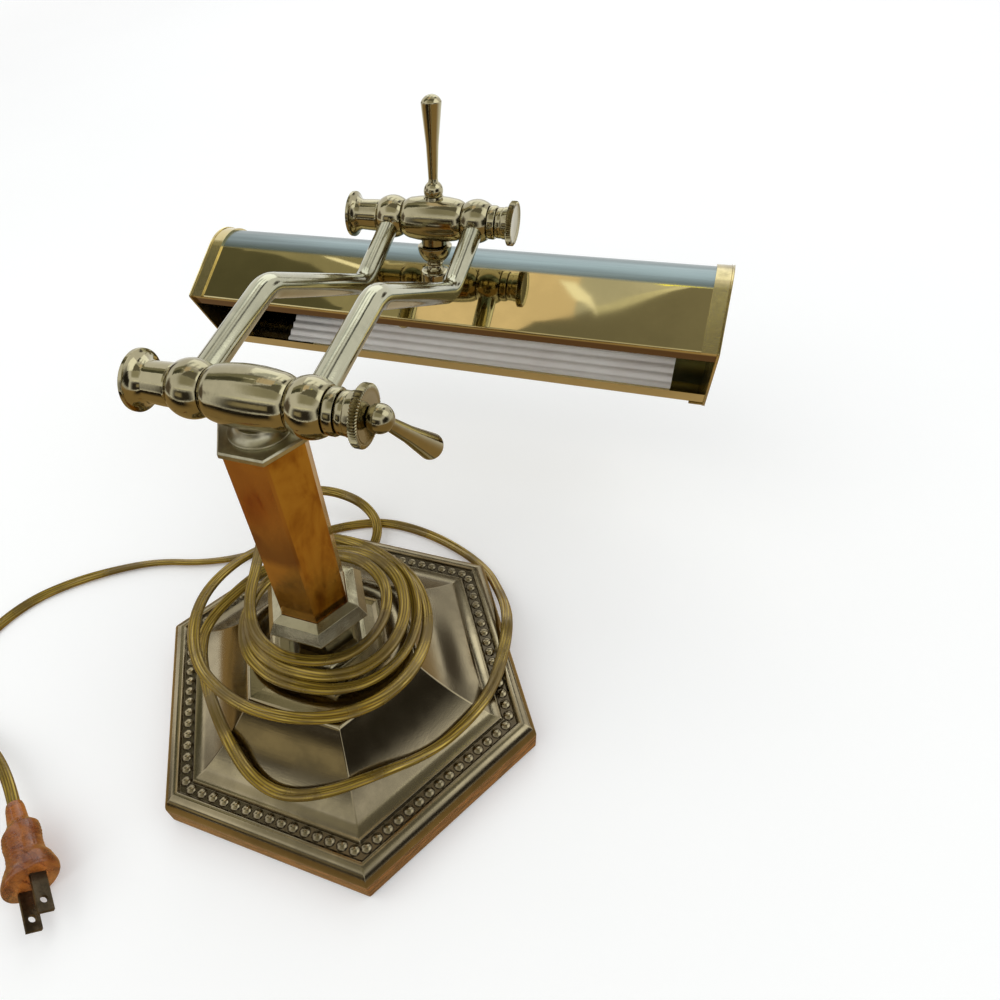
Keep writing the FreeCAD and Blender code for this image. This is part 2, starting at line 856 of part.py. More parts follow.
def lower_lever():
    """The lever on the lower rod's end. It hangs down at the back and leans outwards."""
    handle = turned("lower_lever_blank", lever_outline())
    middle = ("ball_middle", "0", "knuckle_height")
    seat(handle, *middle, ("1; 0; 0", "-lever_hang"), ("0; 1; 0", "lever_lean"))
    flat = box("lower_lever_flat", "ball_radius", "2 * ball_radius", "2 * ball_radius")
    seat(
        flat,
        "ball_middle - ball_flat - ball_radius",
        "-ball_radius",
        "knuckle_height - ball_radius",
    )
    bore = cylinder("lower_lever_bore", "spigot_radius + running_fit", "spigot_length + overcut")
    seat(bore, "nut_end + moving_gap - overcut", "0", "knuckle_height", ALONG_X)
    return node(cut("lower_lever", handle, flat, bore), "lower_lever")


def upper_lever():
    """The lever on top of the upper knuckle, upright along the swivel pin."""
    handle = turned("upper_lever_blank", lever_outline())
    seat_on_head(handle, "upper_ball_z")
    flat = cylinder("upper_lever_flat", "2 * ball_radius", "ball_radius")
    seat_on_head(flat, "upper_ball_z - upper_ball_flat - ball_radius")
    bore = cylinder("upper_lever_bore", "spigot_radius + running_fit", "spigot_length + overcut")
    seat_on_head(bore, "barrel_radius + moving_gap - overcut")
    return node(cut("upper_lever", handle, flat, bore), "upper_lever")


def seat_on_head(thing, height):
    """Puts an upright piece on the swivel axis, at this height over the upper knuckle's middle."""
    y = f"head_y + ({height}) * sin(neck_lean)"
    z = f"head_z + ({height}) * cos(neck_lean)"
    return seat(thing, "0", y, z, ("1; 0; 0", "-neck_lean"))


def lower_knuckle():
    y, z = "0", "knuckle_height"
    blank, bore = barrel("lower_barrel", y, z)
    rod_start = "bore_floor + flange_dish - flange_face"
    rod = cylinder("lower_rod_shank", "rod_radius", f"nut_end - ({rod_start})")
    seat(rod, rod_start, y, z, ALONG_X)
    spigot = cylinder("lower_rod_spigot", "spigot_radius", "moving_gap + spigot_length")
    seat(spigot, "nut_end", y, z, ALONG_X)
    slope = "arm_rise"
    return [
        node(cut("lower_barrel", blank, bore), "lower_barrel"),
        node(joined("lower_rod", rod, spigot), "lower_rod"),
        end_flange("lower_flange", y, z),
        ring("lower_ring", y, z),
        thumb_nut("lower_nut", y, z, blind=False),
        lower_lever(),
        lobe("lower_lobe_left", "-lobe_middle", y, z, slope),
        lobe("lower_lobe_right", "lobe_middle", y, z, slope),
    ]


def upper_knuckle():
    y, z = "head_y", "head_z"
    blank, bore = barrel("upper_barrel", y, z)
    boss = cylinder("upper_boss", "boss_radius", "barrel_radius + boss_drop")
    seat_on_head(boss, "-barrel_radius - boss_drop")
    pin_hole = cylinder("pin_hole", "rod_radius + running_fit", "4 * barrel_radius")
    seat_on_head(pin_hole, "-2 * barrel_radius")
    middle = cut("upper_barrel", joined("upper_barrel_joined", blank, boss), bore, pin_hole)
    inner = "rod_radius + moving_gap"
    left = cylinder("upper_stud_left", "rod_radius", f"flange_face - bore_floor - flange_dish - ({inner})")
    seat(left, "bore_floor + flange_dish - flange_face", y, z, ALONG_X)
    right = cylinder("upper_stud_right", "rod_radius", f"nut_start + hub_width - ({inner})")
    seat(right, inner, y, z, ALONG_X)
    slope = "third_slope + 180"
    return [
        node(middle, "upper_barrel"),
        node(left, "upper_stud_left"),
        node(right, "upper_stud_right"),
        end_flange("upper_flange", y, z),
        ring("upper_ring", y, z),
        thumb_nut("upper_nut", y, z, blind=True),
        upper_lever(),
        lobe("upper_lobe_left", "-lobe_middle", y, z, slope),
        lobe("upper_lobe_right", "lobe_middle", y, z, slope),
    ]


# Arms


def arm(label, x):
    """A tube bent twice in an upright plane, from the lower lobe to the upper one."""
    body = doc.addObject("PartDesign::Body", label)
    first = "arm_bend * tan(arm_first_turn / 2)"
    second = "arm_bend * tan(arm_second_turn / 2)"
    second_slope = "arm_first_turn"
    third_slope = "(arm_first_turn - arm_second_turn)"
    corner_y = f"arm_first_leg + arm_second_leg * cos({second_slope})"
    corner_z = f"-arm_second_leg * sin({second_slope})"
    end = "(arm_third_leg - arm_seat)"
    path = outline(
        body,
        "YZ_Plane",
        [
            ("arm_seat", "0"),
            (f"arm_first_leg - {first}", "0"),
            (
                f"arm_first_leg + {first} * cos({second_slope})",
                f"-{first} * sin({second_slope})",
                "arm_bend",
                -1,
            ),
            (
                f"{corner_y} - {second} * cos({second_slope})",
                f"{corner_z} + {second} * sin({second_slope})",
            ),
            (
                f"{corner_y} + {second} * cos({third_slope})",
                f"{corner_z} - {second} * sin({third_slope})",
                "arm_bend",
                1,
            ),
            (f"{corner_y} + {end} * cos({third_slope})", f"{corner_z} - {end} * sin({third_slope})"),
        ],
        closed=False,
    )
    section = body.newObject("Sketcher::SketchObject", label + "_section")
    section.AttachmentSupport = [(origin_part(body, "XZ_Plane"), "")]
    section.MapMode = "FlatFace"
    bind(section, "AttachmentOffset.Base.z", "-arm_seat")
    for radius in ("arm_radius", "arm_radius - arm_wall"):
        ring_edge = Part.Circle(vector((0, 0)), FreeCAD.Vector(0, 0, 1), number(radius))
        edge = section.addGeometry(ring_edge)
        section.addConstraint(Sketcher.Constraint("Coincident", edge, 3, -1, 1))
        place = section.addConstraint(Sketcher.Constraint("Radius", edge, number(radius)))
        bind(section, f"Constraints[{place}]", radius)
    pipe = body.newObject("PartDesign::AdditivePipe", label + "_pipe")
    pipe.Profile = section
    pipe.Spine = (path, [f"Edge{index}" for index in range(1, 6)])
    seat(body, x, "0", "knuckle_height", ("1; 0; 0", "arm_rise"))
    return node(body, label)


# Neck and shade


def shade_place(thing, x, reach="0", depth="0", *turns):
    """Puts a piece in the shade's own frame: reach runs back along the top panel from its front
    lip, and depth runs square to the panel, down into the shade."""
    y = f"shade_y + ({reach}) * cos(shade_tilt) + ({depth}) * sin(shade_tilt)"
    z = f"shade_z + ({reach}) * sin(shade_tilt) - ({depth}) * cos(shade_tilt)"
    return seat(thing, x, y, z, ("1; 0; 0", "shade_tilt"), *turns)


def neck():
    """The turned vase under the upper knuckle, its slanting foot and the pin of the swivel."""
    bowl = turned(
        "neck_blank",
        [
            ("0", "-neck_top"),
            ("0", "-neck_bottom"),
            ("neck_flare_radius", "-neck_bottom"),
            ("neck_waist_radius", "-waist_bottom", "neck_flare_height", -1),
            ("neck_waist_radius", "-bowl_bottom"),
            ("neck_top_radius", "-neck_top - neck_top_edge", "neck_bowl_radius", 1),
            ("neck_top_radius", "-neck_top"),
        ],
    )
    seat(bowl, "0", "head_y", "head_z", ("1; 0; 0", "-neck_lean"))
    socket_hole = cylinder("neck_hole", "rod_radius + seat_fit", "spindle_depth + overcut")
    seat_on_head(socket_hole, "-neck_top - spindle_depth")
    pin = cylinder("spindle_shank", "rod_radius", "neck_top + spindle_depth + barrel_radius")
    seat_on_head(pin, "-neck_top - spindle_depth")
    spigot = cylinder("spindle_spigot", "spigot_radius", "moving_gap + spigot_length")
    seat_on_head(spigot, "barrel_radius")
    foot = turned(
        "foot_blank",
        [
            ("0", "-neck_bottom"),
            ("0", "-neck_length - foot_radius"),
            ("foot_radius", "-neck_length - foot_radius"),
            ("foot_radius", "-neck_bottom - foot_rim"),
            ("neck_flare_radius", "-neck_bottom"),
        ],
    )
    seat(foot, "0", "head_y", "head_z", ("1; 0; 0", "-neck_lean"))
    under = box("foot_under", "4 * foot_radius", "6 * foot_radius", "4 * foot_radius")
    shade_place(under, "-2 * foot_radius", "foot_reach - 3 * foot_radius", "4 * foot_radius")
    thread = cylinder("foot_thread", "foot_screw_radius + seat_fit", "foot_screw_grip + overcut")
    shade_place(thread, "0", "foot_reach", "overcut")
    screw = cylinder("foot_screw_shank", "foot_screw_radius", "foot_screw_grip + shade_wall")
    shade_place(screw, "0", "foot_reach", "shade_wall")
    head = cylinder("foot_screw_cap", "foot_screw_head_radius", "foot_screw_head")
    shade_place(head, "0", "foot_reach", "shade_wall + foot_screw_head")
    return [
        node(cut("neck", bowl, socket_hole), "neck"),
        node(joined("neck_spindle", pin, spigot), "neck_spindle"),
        node(cut("neck_foot", foot, under, thread), "neck_foot"),
        node(joined("foot_screw", screw, head), "foot_screw"),
    ]


def trough(inset, start, lower_start):
    """Points of the shade's section moved inwards by the inset, from the front edge of the top
    panel round the back to the front edge of the bottom panel."""
    radius = f"(shade_back_radius - ({inset}))"
    return [
        (start, f"-({inset})"),
        ("shade_flat", f"-({inset})"),
        (f"shade_flat + {radius}", "-shade_back_radius", radius, -1),
        ("shade_flat", f"({inset}) - shade_drop", radius, -1),
        (lower_start, f"({inset}) - shade_drop"),
    ]


def backwards(points):
    """The same outline run the other way, with each arc on the point where it now ends."""
    turned_back = []
    for index in range(len(points) - 1, -1, -1):
        arc = ()
        if index + 1 < len(points) and len(points[index + 1]) == 4:
            arc = (points[index + 1][2], -points[index + 1][3])
        turned_back.append(points[index][:2] + arc)
    return turned_back


def shade_shell():
    """The trough's shell, with its turned-in lips along both front edges."""
    outside = trough("0", "0", "0")
    inside = backwards(trough("shade_wall", "shade_wall", "shade_wall"))
    points = outside + [("0", "bottom_lip - shade_drop"), ("shade_wall", "bottom_lip - shade_drop")]
    points += inside + [("shade_wall", "-front_lip"), ("0", "-front_lip")]
    shell = padded("shade_blank", "YZ_Plane", points, "shade_length - 2 * end_plate")
    shade_place(shell, "end_plate - half_shade")
    hole = cylinder("foot_hole", "foot_screw_radius + moving_gap", "shade_wall + 2 * overcut")
    shade_place(hole, "0", "foot_reach", "shade_wall + overcut")
    return node(cut("shade_shell", shell, hole), "shade_shell")


def shade_cap(label, plate_x, space_x):
    """An end plate with a band that wraps round the shell's end."""
    grown = "end_band_wall + seat_fit"
    outside = trough(f"-({grown})", f"-({grown})", f"-({grown})")
    blank = padded(label + "_blank", "YZ_Plane", outside, "end_band_width")
    shade_place(blank, plate_x)
    inside = trough("-seat_fit", "-2 * end_band_width", "-2 * end_band_width")
    space = padded(label + "_space", "YZ_Plane", inside, "end_band_width")
    shade_place(space, space_x)
    return node(cut(label, blank, space), label)


def reflector():
    """The fluted lining: a trough inside the shell with half-round flutes on its flat panels."""
    gap = "reflector_gap"
    inner = "reflector_gap + reflector_wall"
    outside = trough(gap, "reflector_setback", "reflector_lower_setback")
    inside = backwards(trough(inner, "reflector_setback", "reflector_lower_setback"))
    lining = padded("reflector_blank", "YZ_Plane", outside + inside, "reflector_length")
    shade_place(lining, "reflector_start - half_shade")
    flutes = [lining]
    for index in range(SIZES["flute_count"]):
        reach = f"reflector_lower_setback + flute_radius + {index} * flute_pitch"
        flute = cylinder("flute", "flute_radius", "reflector_length")
        depth = f"shade_drop - {inner}"
        shade_place(flute, "reflector_start - half_shade", reach, depth, ALONG_X)
        flutes.append(flute)
    fluted = joined("reflector_joined", *flutes)
    return node(fluted, "reflector")


def socket():
    """The lamp holder on the left end plate: bracket, black case and brass sleeve."""
    holder = cylinder("holder_plate", "holder_radius", "holder_thickness")
    nipple = cylinder("holder_nipple", "nipple_radius", "holder_thickness + nipple_length")
    hole = cylinder("holder_hole", "stem_bore", "2 * (holder_thickness + nipple_length)")
    case = cylinder("socket_blank", "socket_radius", "socket_length")
    inside = cylinder("socket_inside", "socket_radius - socket_wall", "socket_length")
    entry = cylinder("socket_entry", "nipple_radius + seat_fit", "socket_length")
    sleeve = cylinder("sleeve_blank", "socket_radius - socket_wall - seat_fit", "sleeve_length")
    sleeve_hole = cylinder(
        "sleeve_hole",
        "socket_radius - socket_wall - seat_fit - sleeve_wall",
        "sleeve_length + 2 * overcut",
    )
    start = "end_plate - half_shade"
    mouth = "socket_x + socket_length - sleeve_length - overcut"
    for thing, x in [
        (holder, start),
        (nipple, start),
        (hole, f"{start} - overcut"),
        (case, "socket_x"),
        (inside, "socket_x + socket_floor"),
        (entry, "socket_x - overcut"),
        (sleeve, mouth),
        (sleeve_hole, f"{mouth} - overcut"),
    ]:
        shade_place(thing, x, "socket_reach", "shade_back_radius", ALONG_X)
    bracket = cut("socket_bracket", joined("socket_bracket_joined", holder, nipple), hole)
    return [
        node(bracket, "socket_bracket"),
        node(cut("socket", case, inside, entry), "socket"),
        node(cut("socket_sleeve", sleeve, sleeve_hole), "socket_sleeve"),
    ]


def switch():
    """The rotary switch under the front of the top panel, with the knob below it."""
    case = box("switch_case", "switch_width", "switch_depth", "switch_height")
    case_reach = "switch_reach - switch_depth / 2"
    case_depth = "shade_wall + switch_height"
    shade_place(case, "-switch_offset - switch_width / 2", case_reach, case_depth)
    neck_piece = cylinder("switch_bush", "stem_bush_radius", "stem_bush_length")
    stem_piece = cylinder("switch_stem", "switch_stem_radius", "stem_bush_length + knob_length / 2")
    bush_depth = f"{case_depth} + stem_bush_length"
    shade_place(neck_piece, "-switch_offset", "switch_reach", bush_depth)
    stem_depth = f"{case_depth} + stem_bush_length + knob_length / 2"
    shade_place(stem_piece, "-switch_offset", "switch_reach", stem_depth)
    knob = turned(
        "knob_blank",
        [
            ("0", "-knob_length"),
            ("knob_radius - knob_round", "-knob_length"),
            ("knob_radius", "knob_round - knob_length", "knob_round", 1),
            ("knob_radius", "0"),
            ("0", "0"),
        ],
    )
    shade_place(knob, "-switch_offset", "switch_reach", f"{bush_depth} + moving_gap")
    hole = cylinder(
        "knob_hole", "switch_stem_radius + running_fit", "knob_length / 2 + overcut"
    )
    shade_place(hole, "-switch_offset", "switch_reach", f"{stem_depth} + moving_gap / 2")
    return [
        node(joined("switch_body", case, neck_piece, stem_piece), "switch_body"),
        node(cut("switch_knob", knob, hole), "switch_knob"),
    ]


# Cord

# Where the loops lie: how far from the column's axis and how high, at each quarter turn from the
# left of the column round its front, its right and its rear, from the inside out.
LOOPS = [
    (36.0, 60.0),
    (18.5, 57.5),
    (22.5, 57.0),
    (38.0, 57.0),
    (37.5, 55.0),
    (21.8, 52.6),
    (31.0, 54.0),
    (44.0, 54.5),
    (41.0, 50.3),
    (26.9, 50.9),
    (37.0, 51.6),
    (49.5, 51.9),
    (65.0, 52.0),
    (40.0, 47.7),
    (42.5, 47.9),
    (53.0, 45.0),
    (67.0, 31.0),
]

# The free stretches of the cord, from the bushing to the loops and from the loops to the plug.
LEAD = [
    (-18.3, 98, 6.5),
    (-32, 110, 11),
    (-49, 108, 20),
    (-61, 94, 32),
    (-62.5, 75, 44),
    (-57, 56, 54),
    (-49.5, 37, 60),
    (-42.8, 18.8, 61),
]
TAIL = [
    (-63, -17, 30),
    (-51, -31, 29.8),
    (-37.5, -43.5, 32.8),
    (-25, -53.5, 32.0),
    (-13, -61, 24.2),
    (3, -63.5, 22.4),
    (22, -58.5, 28.6),
    (41, -45, 32.0),
    (57, -26.5, 24),
    (68, -7, 24.8),
    (72.5, 12, 22.6),
    (72, 31, 21.8),
    (70, 45, 21.3),
    (66, 58, 16.5),
    (58, 73, 8.8),
    (47.5, 88, 3.2),
    (30, 98.5, 2.3),
    (6, 106, 2.3),
    (-20, 107.5, 2.3),
    (-44, 97, 2.3),
    (-68, 78, 2.3),
    (-90, 60, 2.3),
    (-113, 49, 2.3),
    (-138, 43, 2.3),
    (-160, 31, 2.3),
    (-182, 14, 2.3),
    (-198, -5, 2.3),
    (-206, -30, 2.3),
    (-204, -55, 2.3),
    (-190, -73, 2.6),
    (-168, -80, 6),
]
LAST_RUN = 24.0


def direction(start, end):
    return (end - start).normalize()


def smooth_route(points):
    """Straight runs joined by arcs, each as large as its two runs allow, and the arcs' radii."""
    edges = []
    radii = []
    last = points[0]
    for before, corner, after in zip(points, points[1:], points[2:]):
        inward = direction(before, corner)
        outward = direction(corner, after)
        turn = inward.getAngle(outward)
        shorter = min((corner - before).Length, (after - corner).Length)
        reach = 0.45 * shorter
        radii.append(reach / math.tan(turn / 2))
        start = corner - inward * reach
        end = corner + outward * reach
        middle_way = (outward - inward).normalize()
        middle_distance = radii[-1] * (1 / math.cos(turn / 2) - 1)
        middle = corner + middle_way * middle_distance
        edges.append(Part.LineSegment(last, start).toShape())
        edges.append(Part.Arc(start, middle, end).toShape())
        last = end
    edges.append(Part.LineSegment(last, points[-1]).toShape())
    return edges, radii


def tube(label, edges, first_way):
    """A round cord along the edges, compared with its section times its length."""
    radius = number("cord_radius")
    route = Part.Wire(edges)
    start = edges[0].Vertexes[0].Point
    section = Part.Wire(Part.makeCircle(radius, start, first_way))
    solid = route.makePipeShell([section], True, False)
    length = sum(edge.Length for edge in edges)
    share = solid.Volume / (math.pi * radius * radius * length)
    print(f"{label}: length {length:.1f}, volume over section times length {share:.4f}")
    made = doc.addObject("Part::Feature", label)
    made.Shape = solid
    return node(made, label)


def biarc(start, start_way, end, end_way):
    """Two arcs that leave start and reach end along the given directions."""
    chord = end - start
    ways = start_way + end_way
    closeness = 2 * (1 - start_way.dot(end_way))
    along = chord.dot(ways)
    reach = (math.sqrt(along * along + closeness * chord.dot(chord)) - along) / closeness
    join = (start + start_way * reach + end - end_way * reach) * 0.5
    edges = []
    for point, way, other in ((start, start_way, join), (end, end_way * -1, join)):
        span = other - point
        across = span - way * span.dot(way)
        across.normalize()
        radius = span.dot(span) / (2 * span.dot(across))
        centre = point + across * radius
        middle = centre + ((point - centre).normalize() + (other - centre).normalize()).normalize() * radius
        if point is start:
            edges.append(Part.Arc(point, middle, other).toShape())
        else:
            edges.append(Part.Arc(other, middle, point).toShape())
    return edges


def through(before, point, after):
    """The direction at a point of the circle through it and its two neighbours."""
    arriving = point - before
    leaving = after - point
    along = arriving * (1 / arriving.dot(arriving)) + leaving * (1 / leaving.dot(leaving))
    return along.normalize()


def coil_route(before, after):
    """The loops as arcs, two to each quarter turn, between the points just before and after."""
    stations = []
    for quarter, (reach, level) in enumerate(LOOPS):
        angle = math.pi + quarter * math.pi / 2
        stations.append(FreeCAD.Vector(reach * math.cos(angle), reach * math.sin(angle), level))
    ways = [direction(before, stations[0])]
    for near, point, far in zip(stations, stations[1:], stations[2:]):
        ways.append(through(near, point, far))
    ways.append(direction(stations[-1], after))
    edges = []
    for index in range(len(stations) - 1):
        edges += biarc(stations[index], ways[index], stations[index + 1], ways[index + 1])
    return stations, ways, edges


def least_gap(edges, radius):
    """The least gap of a wound tube to itself, measured between points more than half a loop
    apart along it."""
    points = []
    for edge in edges:
        points += edge.discretize(9)[:-1]
    gap = math.inf
    apart = 32
    for index, point in enumerate(points):
        for other in points[index + apart :]:
            gap = min(gap, (other - point).Length - 2 * radius)
    return gap


def cord():
    """The cord: out of the base's rear, up behind it, loops round the stand from the inside out,
    down at the right and along the table to the plug."""
    lead_points = [FreeCAD.Vector(*point) for point in LEAD]
    tail_points = [FreeCAD.Vector(*point) for point in TAIL]
    stations, ways, coil_edges = coil_route(lead_points[-1], tail_points[0])
    print(f"loops: least gap to itself {least_gap(coil_edges, number('cord_radius')):.2f}")
    coil_radii = [edge.Curve.Radius for edge in coil_edges]
    print("loops' radii", [round(value) for value in coil_radii])
    cord_exit = FreeCAD.Vector(
        -number("bushing_side"), number("bushing_face"), number("bushing_height")
    )
    lead_points = [cord_exit] + lead_points + [stations[0]]
    tail_points = [stations[-1]] + tail_points
    plug_way = FreeCAD.Vector(
        math.cos(math.radians(number("plug_yaw"))), math.sin(math.radians(number("plug_yaw"))), 0
    )
    face = FreeCAD.Vector(number("plug_x"), number("plug_y"), number("plug_height"))
    plug_rear = face - plug_way * number("plug_length")
    tail_points += [plug_rear - plug_way * LAST_RUN, plug_rear]
    lead_edges, lead_radii = smooth_route(lead_points)
    tail_edges, tail_radii = smooth_route(tail_points)
    print("lead radii", [round(value) for value in lead_radii])
    print("tail radii", [round(value) for value in tail_radii])
    return [
        tube("cord_lead", lead_edges, FreeCAD.Vector(0, 1, 0)),
        tube("cord_coil", coil_edges, ways[0]),
        tube("cord_tail", tail_edges, direction(tail_points[0], tail_points[1])),
    ]


def cord_bushing():
    """The bushing in the base's rear, with a wide outer flange that the cord comes out of."""
    flange = cylinder("bushing_disc", "bushing_radius", "bushing_flange")
    seat(flange, "-bushing_side", "half_base", "bushing_height", ALONG_Y)
    barrel_piece = cylinder("bushing_barrel", "bushing_barrel_radius", "bushing_depth")
    seat(barrel_piece, "-bushing_side", "half_base - bushing_depth", "bushing_height", ALONG_Y)
    return node(joined("cord_bushing", flange, barrel_piece), "cord_bushing")


def plug_place(thing, reach, across, *turns):
    """Puts a piece in the plug's frame: reach runs out of its face, and across from the upper
    blade to the lower one, which the piece's own X follows."""
    x = f"plug_x + ({reach}) * cos(plug_yaw) + ({across}) * cos(plug_roll) * sin(plug_yaw)"
    y = f"plug_y + ({reach}) * sin(plug_yaw) - ({across}) * cos(plug_roll) * cos(plug_yaw)"
    z = f"plug_height - ({across}) * sin(plug_roll)"
    return seat(thing, x, y, z, ("0; 0; 1", "plug_yaw"), ALONG_X, ("0; 0; 1", "plug_roll - 90"), *turns)


def plug():
    """The moulded plug: a tapered grip that flares to its face, and two flat blades."""
    stations = [
        ("0", "plug_rear_major", "plug_rear_minor"),
        ("plug_length * plug_strain_share", "plug_strain_major", "plug_strain_minor"),
        ("plug_length * plug_grip_start_share", "plug_grip_major", "plug_grip_minor"),
        ("plug_length * plug_grip_end_share", "plug_grip_major", "plug_grip_minor"),
        ("plug_length - plug_face_rim", "plug_face_major", "plug_face_minor"),
        ("plug_length", "plug_face_major", "plug_face_minor"),
    ]
    sections = []
    for reach, major, minor in stations:
        ring_edge = doc.addObject("Part::Ellipse", "plug_section")
        bind(ring_edge, "MajorRadius", major)
        bind(ring_edge, "MinorRadius", minor)
        bind(ring_edge, "Placement.Base.z", reach)
        sections.append(ring_edge)
    grip = doc.addObject("Part::Loft", "cord_plug")
    grip.Sections = sections
    grip.Solid = True
    grip.Ruled = True
    plug_place(grip, "-plug_length", "0")
    blades = []
    for side in (-1, 1):
        points = []
        for over, along in ((-1, -1), (1, -1), (1, 1), (-1, 1)):
            points.append((f"{over} * blade_thickness / 2", f"{along} * blade_width / 2"))
        blade = padded("blade", "XY_Plane", points, "blade_length")
        plug_place(blade, "0", f"{side} * blade_spacing / 2")
        blades.append(blade)
    pair = doc.addObject("Part::Compound", "blade_pair")
    pair.Links = blades
    hole = cylinder("blade_hole", "blade_hole_radius", "2 * blade_spacing")
    plug_place(hole, "blade_hole_reach", "-blade_spacing", ALONG_X)
    return [node(grip, "cord_plug"), node(cut("plug_blades", pair, hole), "plug_blades")]


def write_nodes(nodes):
    """Checks every object of the document, then writes each piece to its own file."""
    doc.recompute()
    for thing in doc.Objects:
        if "Invalid" in thing.State or "Error" in thing.State:
            raise RuntimeError(f"{thing.Label} did not compute: {thing.getStatusString()}")
    for piece in nodes:
        if piece.Shape.isNull() or not piece.Shape.isValid():
            raise RuntimeError(f"{piece.Label} has no valid shape")
    for piece in nodes:
        piece.Shape.exportStep(f"parts/{piece.Label}.step")


def main():
    pieces = [base_shell()]
    pieces += base_filling()
    pieces += stem()
    pieces += [plinth(), collar_cup()]
    pieces += column()
    pieces += [barrel_saddle()]
    pieces += lower_knuckle()
    pieces += [arm("arm_left", "-lobe_middle"), arm("arm_right", "lobe_middle")]
    pieces += upper_knuckle()
    pieces += neck()
    pieces += [shade_shell()]
    pieces += [shade_cap("shade_cap_left", "-half_shade", "end_plate - half_shade")]
    right_space = "half_shade - end_plate - end_band_width"
    pieces += [shade_cap("shade_cap_right", "half_shade - end_band_width", right_space)]
    pieces += [reflector()]
    pieces += socket()
    pieces += switch()
    pieces += [cord_bushing()]
    pieces += cord()
    pieces += plug()
    write_nodes(pieces)


main()
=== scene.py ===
import math

import bmesh
import bpy
import numpy as np
from mathutils import Matrix


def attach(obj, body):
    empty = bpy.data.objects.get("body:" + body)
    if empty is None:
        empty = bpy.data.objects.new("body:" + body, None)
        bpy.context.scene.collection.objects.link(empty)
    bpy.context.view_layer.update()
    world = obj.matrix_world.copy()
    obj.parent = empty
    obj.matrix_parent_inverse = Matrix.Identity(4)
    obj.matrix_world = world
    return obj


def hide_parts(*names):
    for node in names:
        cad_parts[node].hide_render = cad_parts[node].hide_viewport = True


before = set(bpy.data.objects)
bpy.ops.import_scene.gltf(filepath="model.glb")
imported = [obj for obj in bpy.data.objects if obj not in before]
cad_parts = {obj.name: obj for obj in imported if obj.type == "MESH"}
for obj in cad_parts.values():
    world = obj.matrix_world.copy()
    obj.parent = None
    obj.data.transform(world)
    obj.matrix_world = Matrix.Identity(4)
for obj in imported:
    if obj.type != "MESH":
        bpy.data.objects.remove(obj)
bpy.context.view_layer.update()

bl_info = {
    "name": "Adjustable desk lamp",
    "version": (1, 0, 0),
    "blender": (4, 5, 0),
    "location": "View3D > Sidebar > Desk lamp",
    "description": "Builds the surfaces, finishes and studio of a jointed desk lamp",
    "category": "Object",
}

# Lengths below are in millimetres, in the frame's own directions, and MM turns them into metres.
MM = 0.001
X, Y, Z = np.eye(3)

# The middles of the two knuckles, the upright pin of the swivel and the lower lever's direction.
LOWER = np.array([0.0, 0.0, 182.7])
UPPER = np.array([0.0, 173.030, 157.031])
SWIVEL = np.array([0.0, 0.139173, 0.990268])
LEVER_WAY = np.array([0.1564, 0.5944, -0.7888])

# The shade's own frame: the corner of its front lip, back along its top panel, and into the shade.
SHADE_LIP = np.array([0.0, 145.953, 116.829])
PANEL_BACK = np.array([0.0, 0.906308, 0.422618])
PANEL_IN = np.array([0.0, 0.422618, -0.906308])
HALF_SHADE = 138.5

# Heights of the stand's joins, and the half width of the bore that runs through its pieces.
SHELL_TOP = 45.16
PLINTH_TOP = 47.06
COLUMN_FOOT = 74.06
COLUMN_TOP = 167.06
CAP_TOP = 170.26
BORE = 5.5
COLUMN_HALF = 13.425

# How far the middles of the lobes and of the arms are from the lamp's own middle.
LOBE_REACH = 21.3


# Shapes


def unit(ways):
    """Each direction divided by its own length."""
    return ways / np.linalg.norm(ways, axis=-1, keepdims=True)


def turns(steps):
    """Equally spaced angles, once round."""
    return 2 * math.pi * np.arange(steps) / steps


def lengths(path):
    """The length along a path up to each of its points."""
    steps = np.linalg.norm(np.diff(path, axis=0), axis=1)
    return np.concatenate([[0.0], np.cumsum(steps)])


def arc(start, radius, first, last, count):
    """Points on a circle, or on an ellipse of two radii, that starts at a point. Its radius turns
    from the `first` angle to the `last`, in degrees."""
    angle = np.radians(np.linspace(first, last, count))
    ways = np.stack([np.cos(angle), np.sin(angle)], axis=1)
    return np.array(start) + np.array(radius) * (ways - ways[0])


def curve(points, step=9.0):
    """A flat line through the points. A point is (a, b), or (a, b, radius, side) where an arc of
    that radius ends there, turning left for side 1 and right for -1, cut every `step` degrees."""
    line = [np.array(points[0][:2], float)]
    for point in points[1:]:
        start = line[-1]
        end = np.array(point[:2], float)
        if len(point) == 4:
            radius, side = point[2:]
            half = np.linalg.norm(end - start) / 2
            along = (end - start) / (2 * half)
            left = np.array([-along[1], along[0]]) * side
            centre = (start + end) / 2 + left * math.sqrt(max(radius**2 - half**2, 0.0))
            sweep = 2 * math.asin(min(half / radius, 1.0))
            count = max(2, math.ceil(math.degrees(sweep) / step))
            first = math.atan2(start[1] - centre[1], start[0] - centre[0])
            angles = first + side * sweep * np.arange(1, count) / count
            line += list(centre + radius * np.stack([np.cos(angles), np.sin(angles)], axis=1))
        line.append(end)
    return np.array(line)


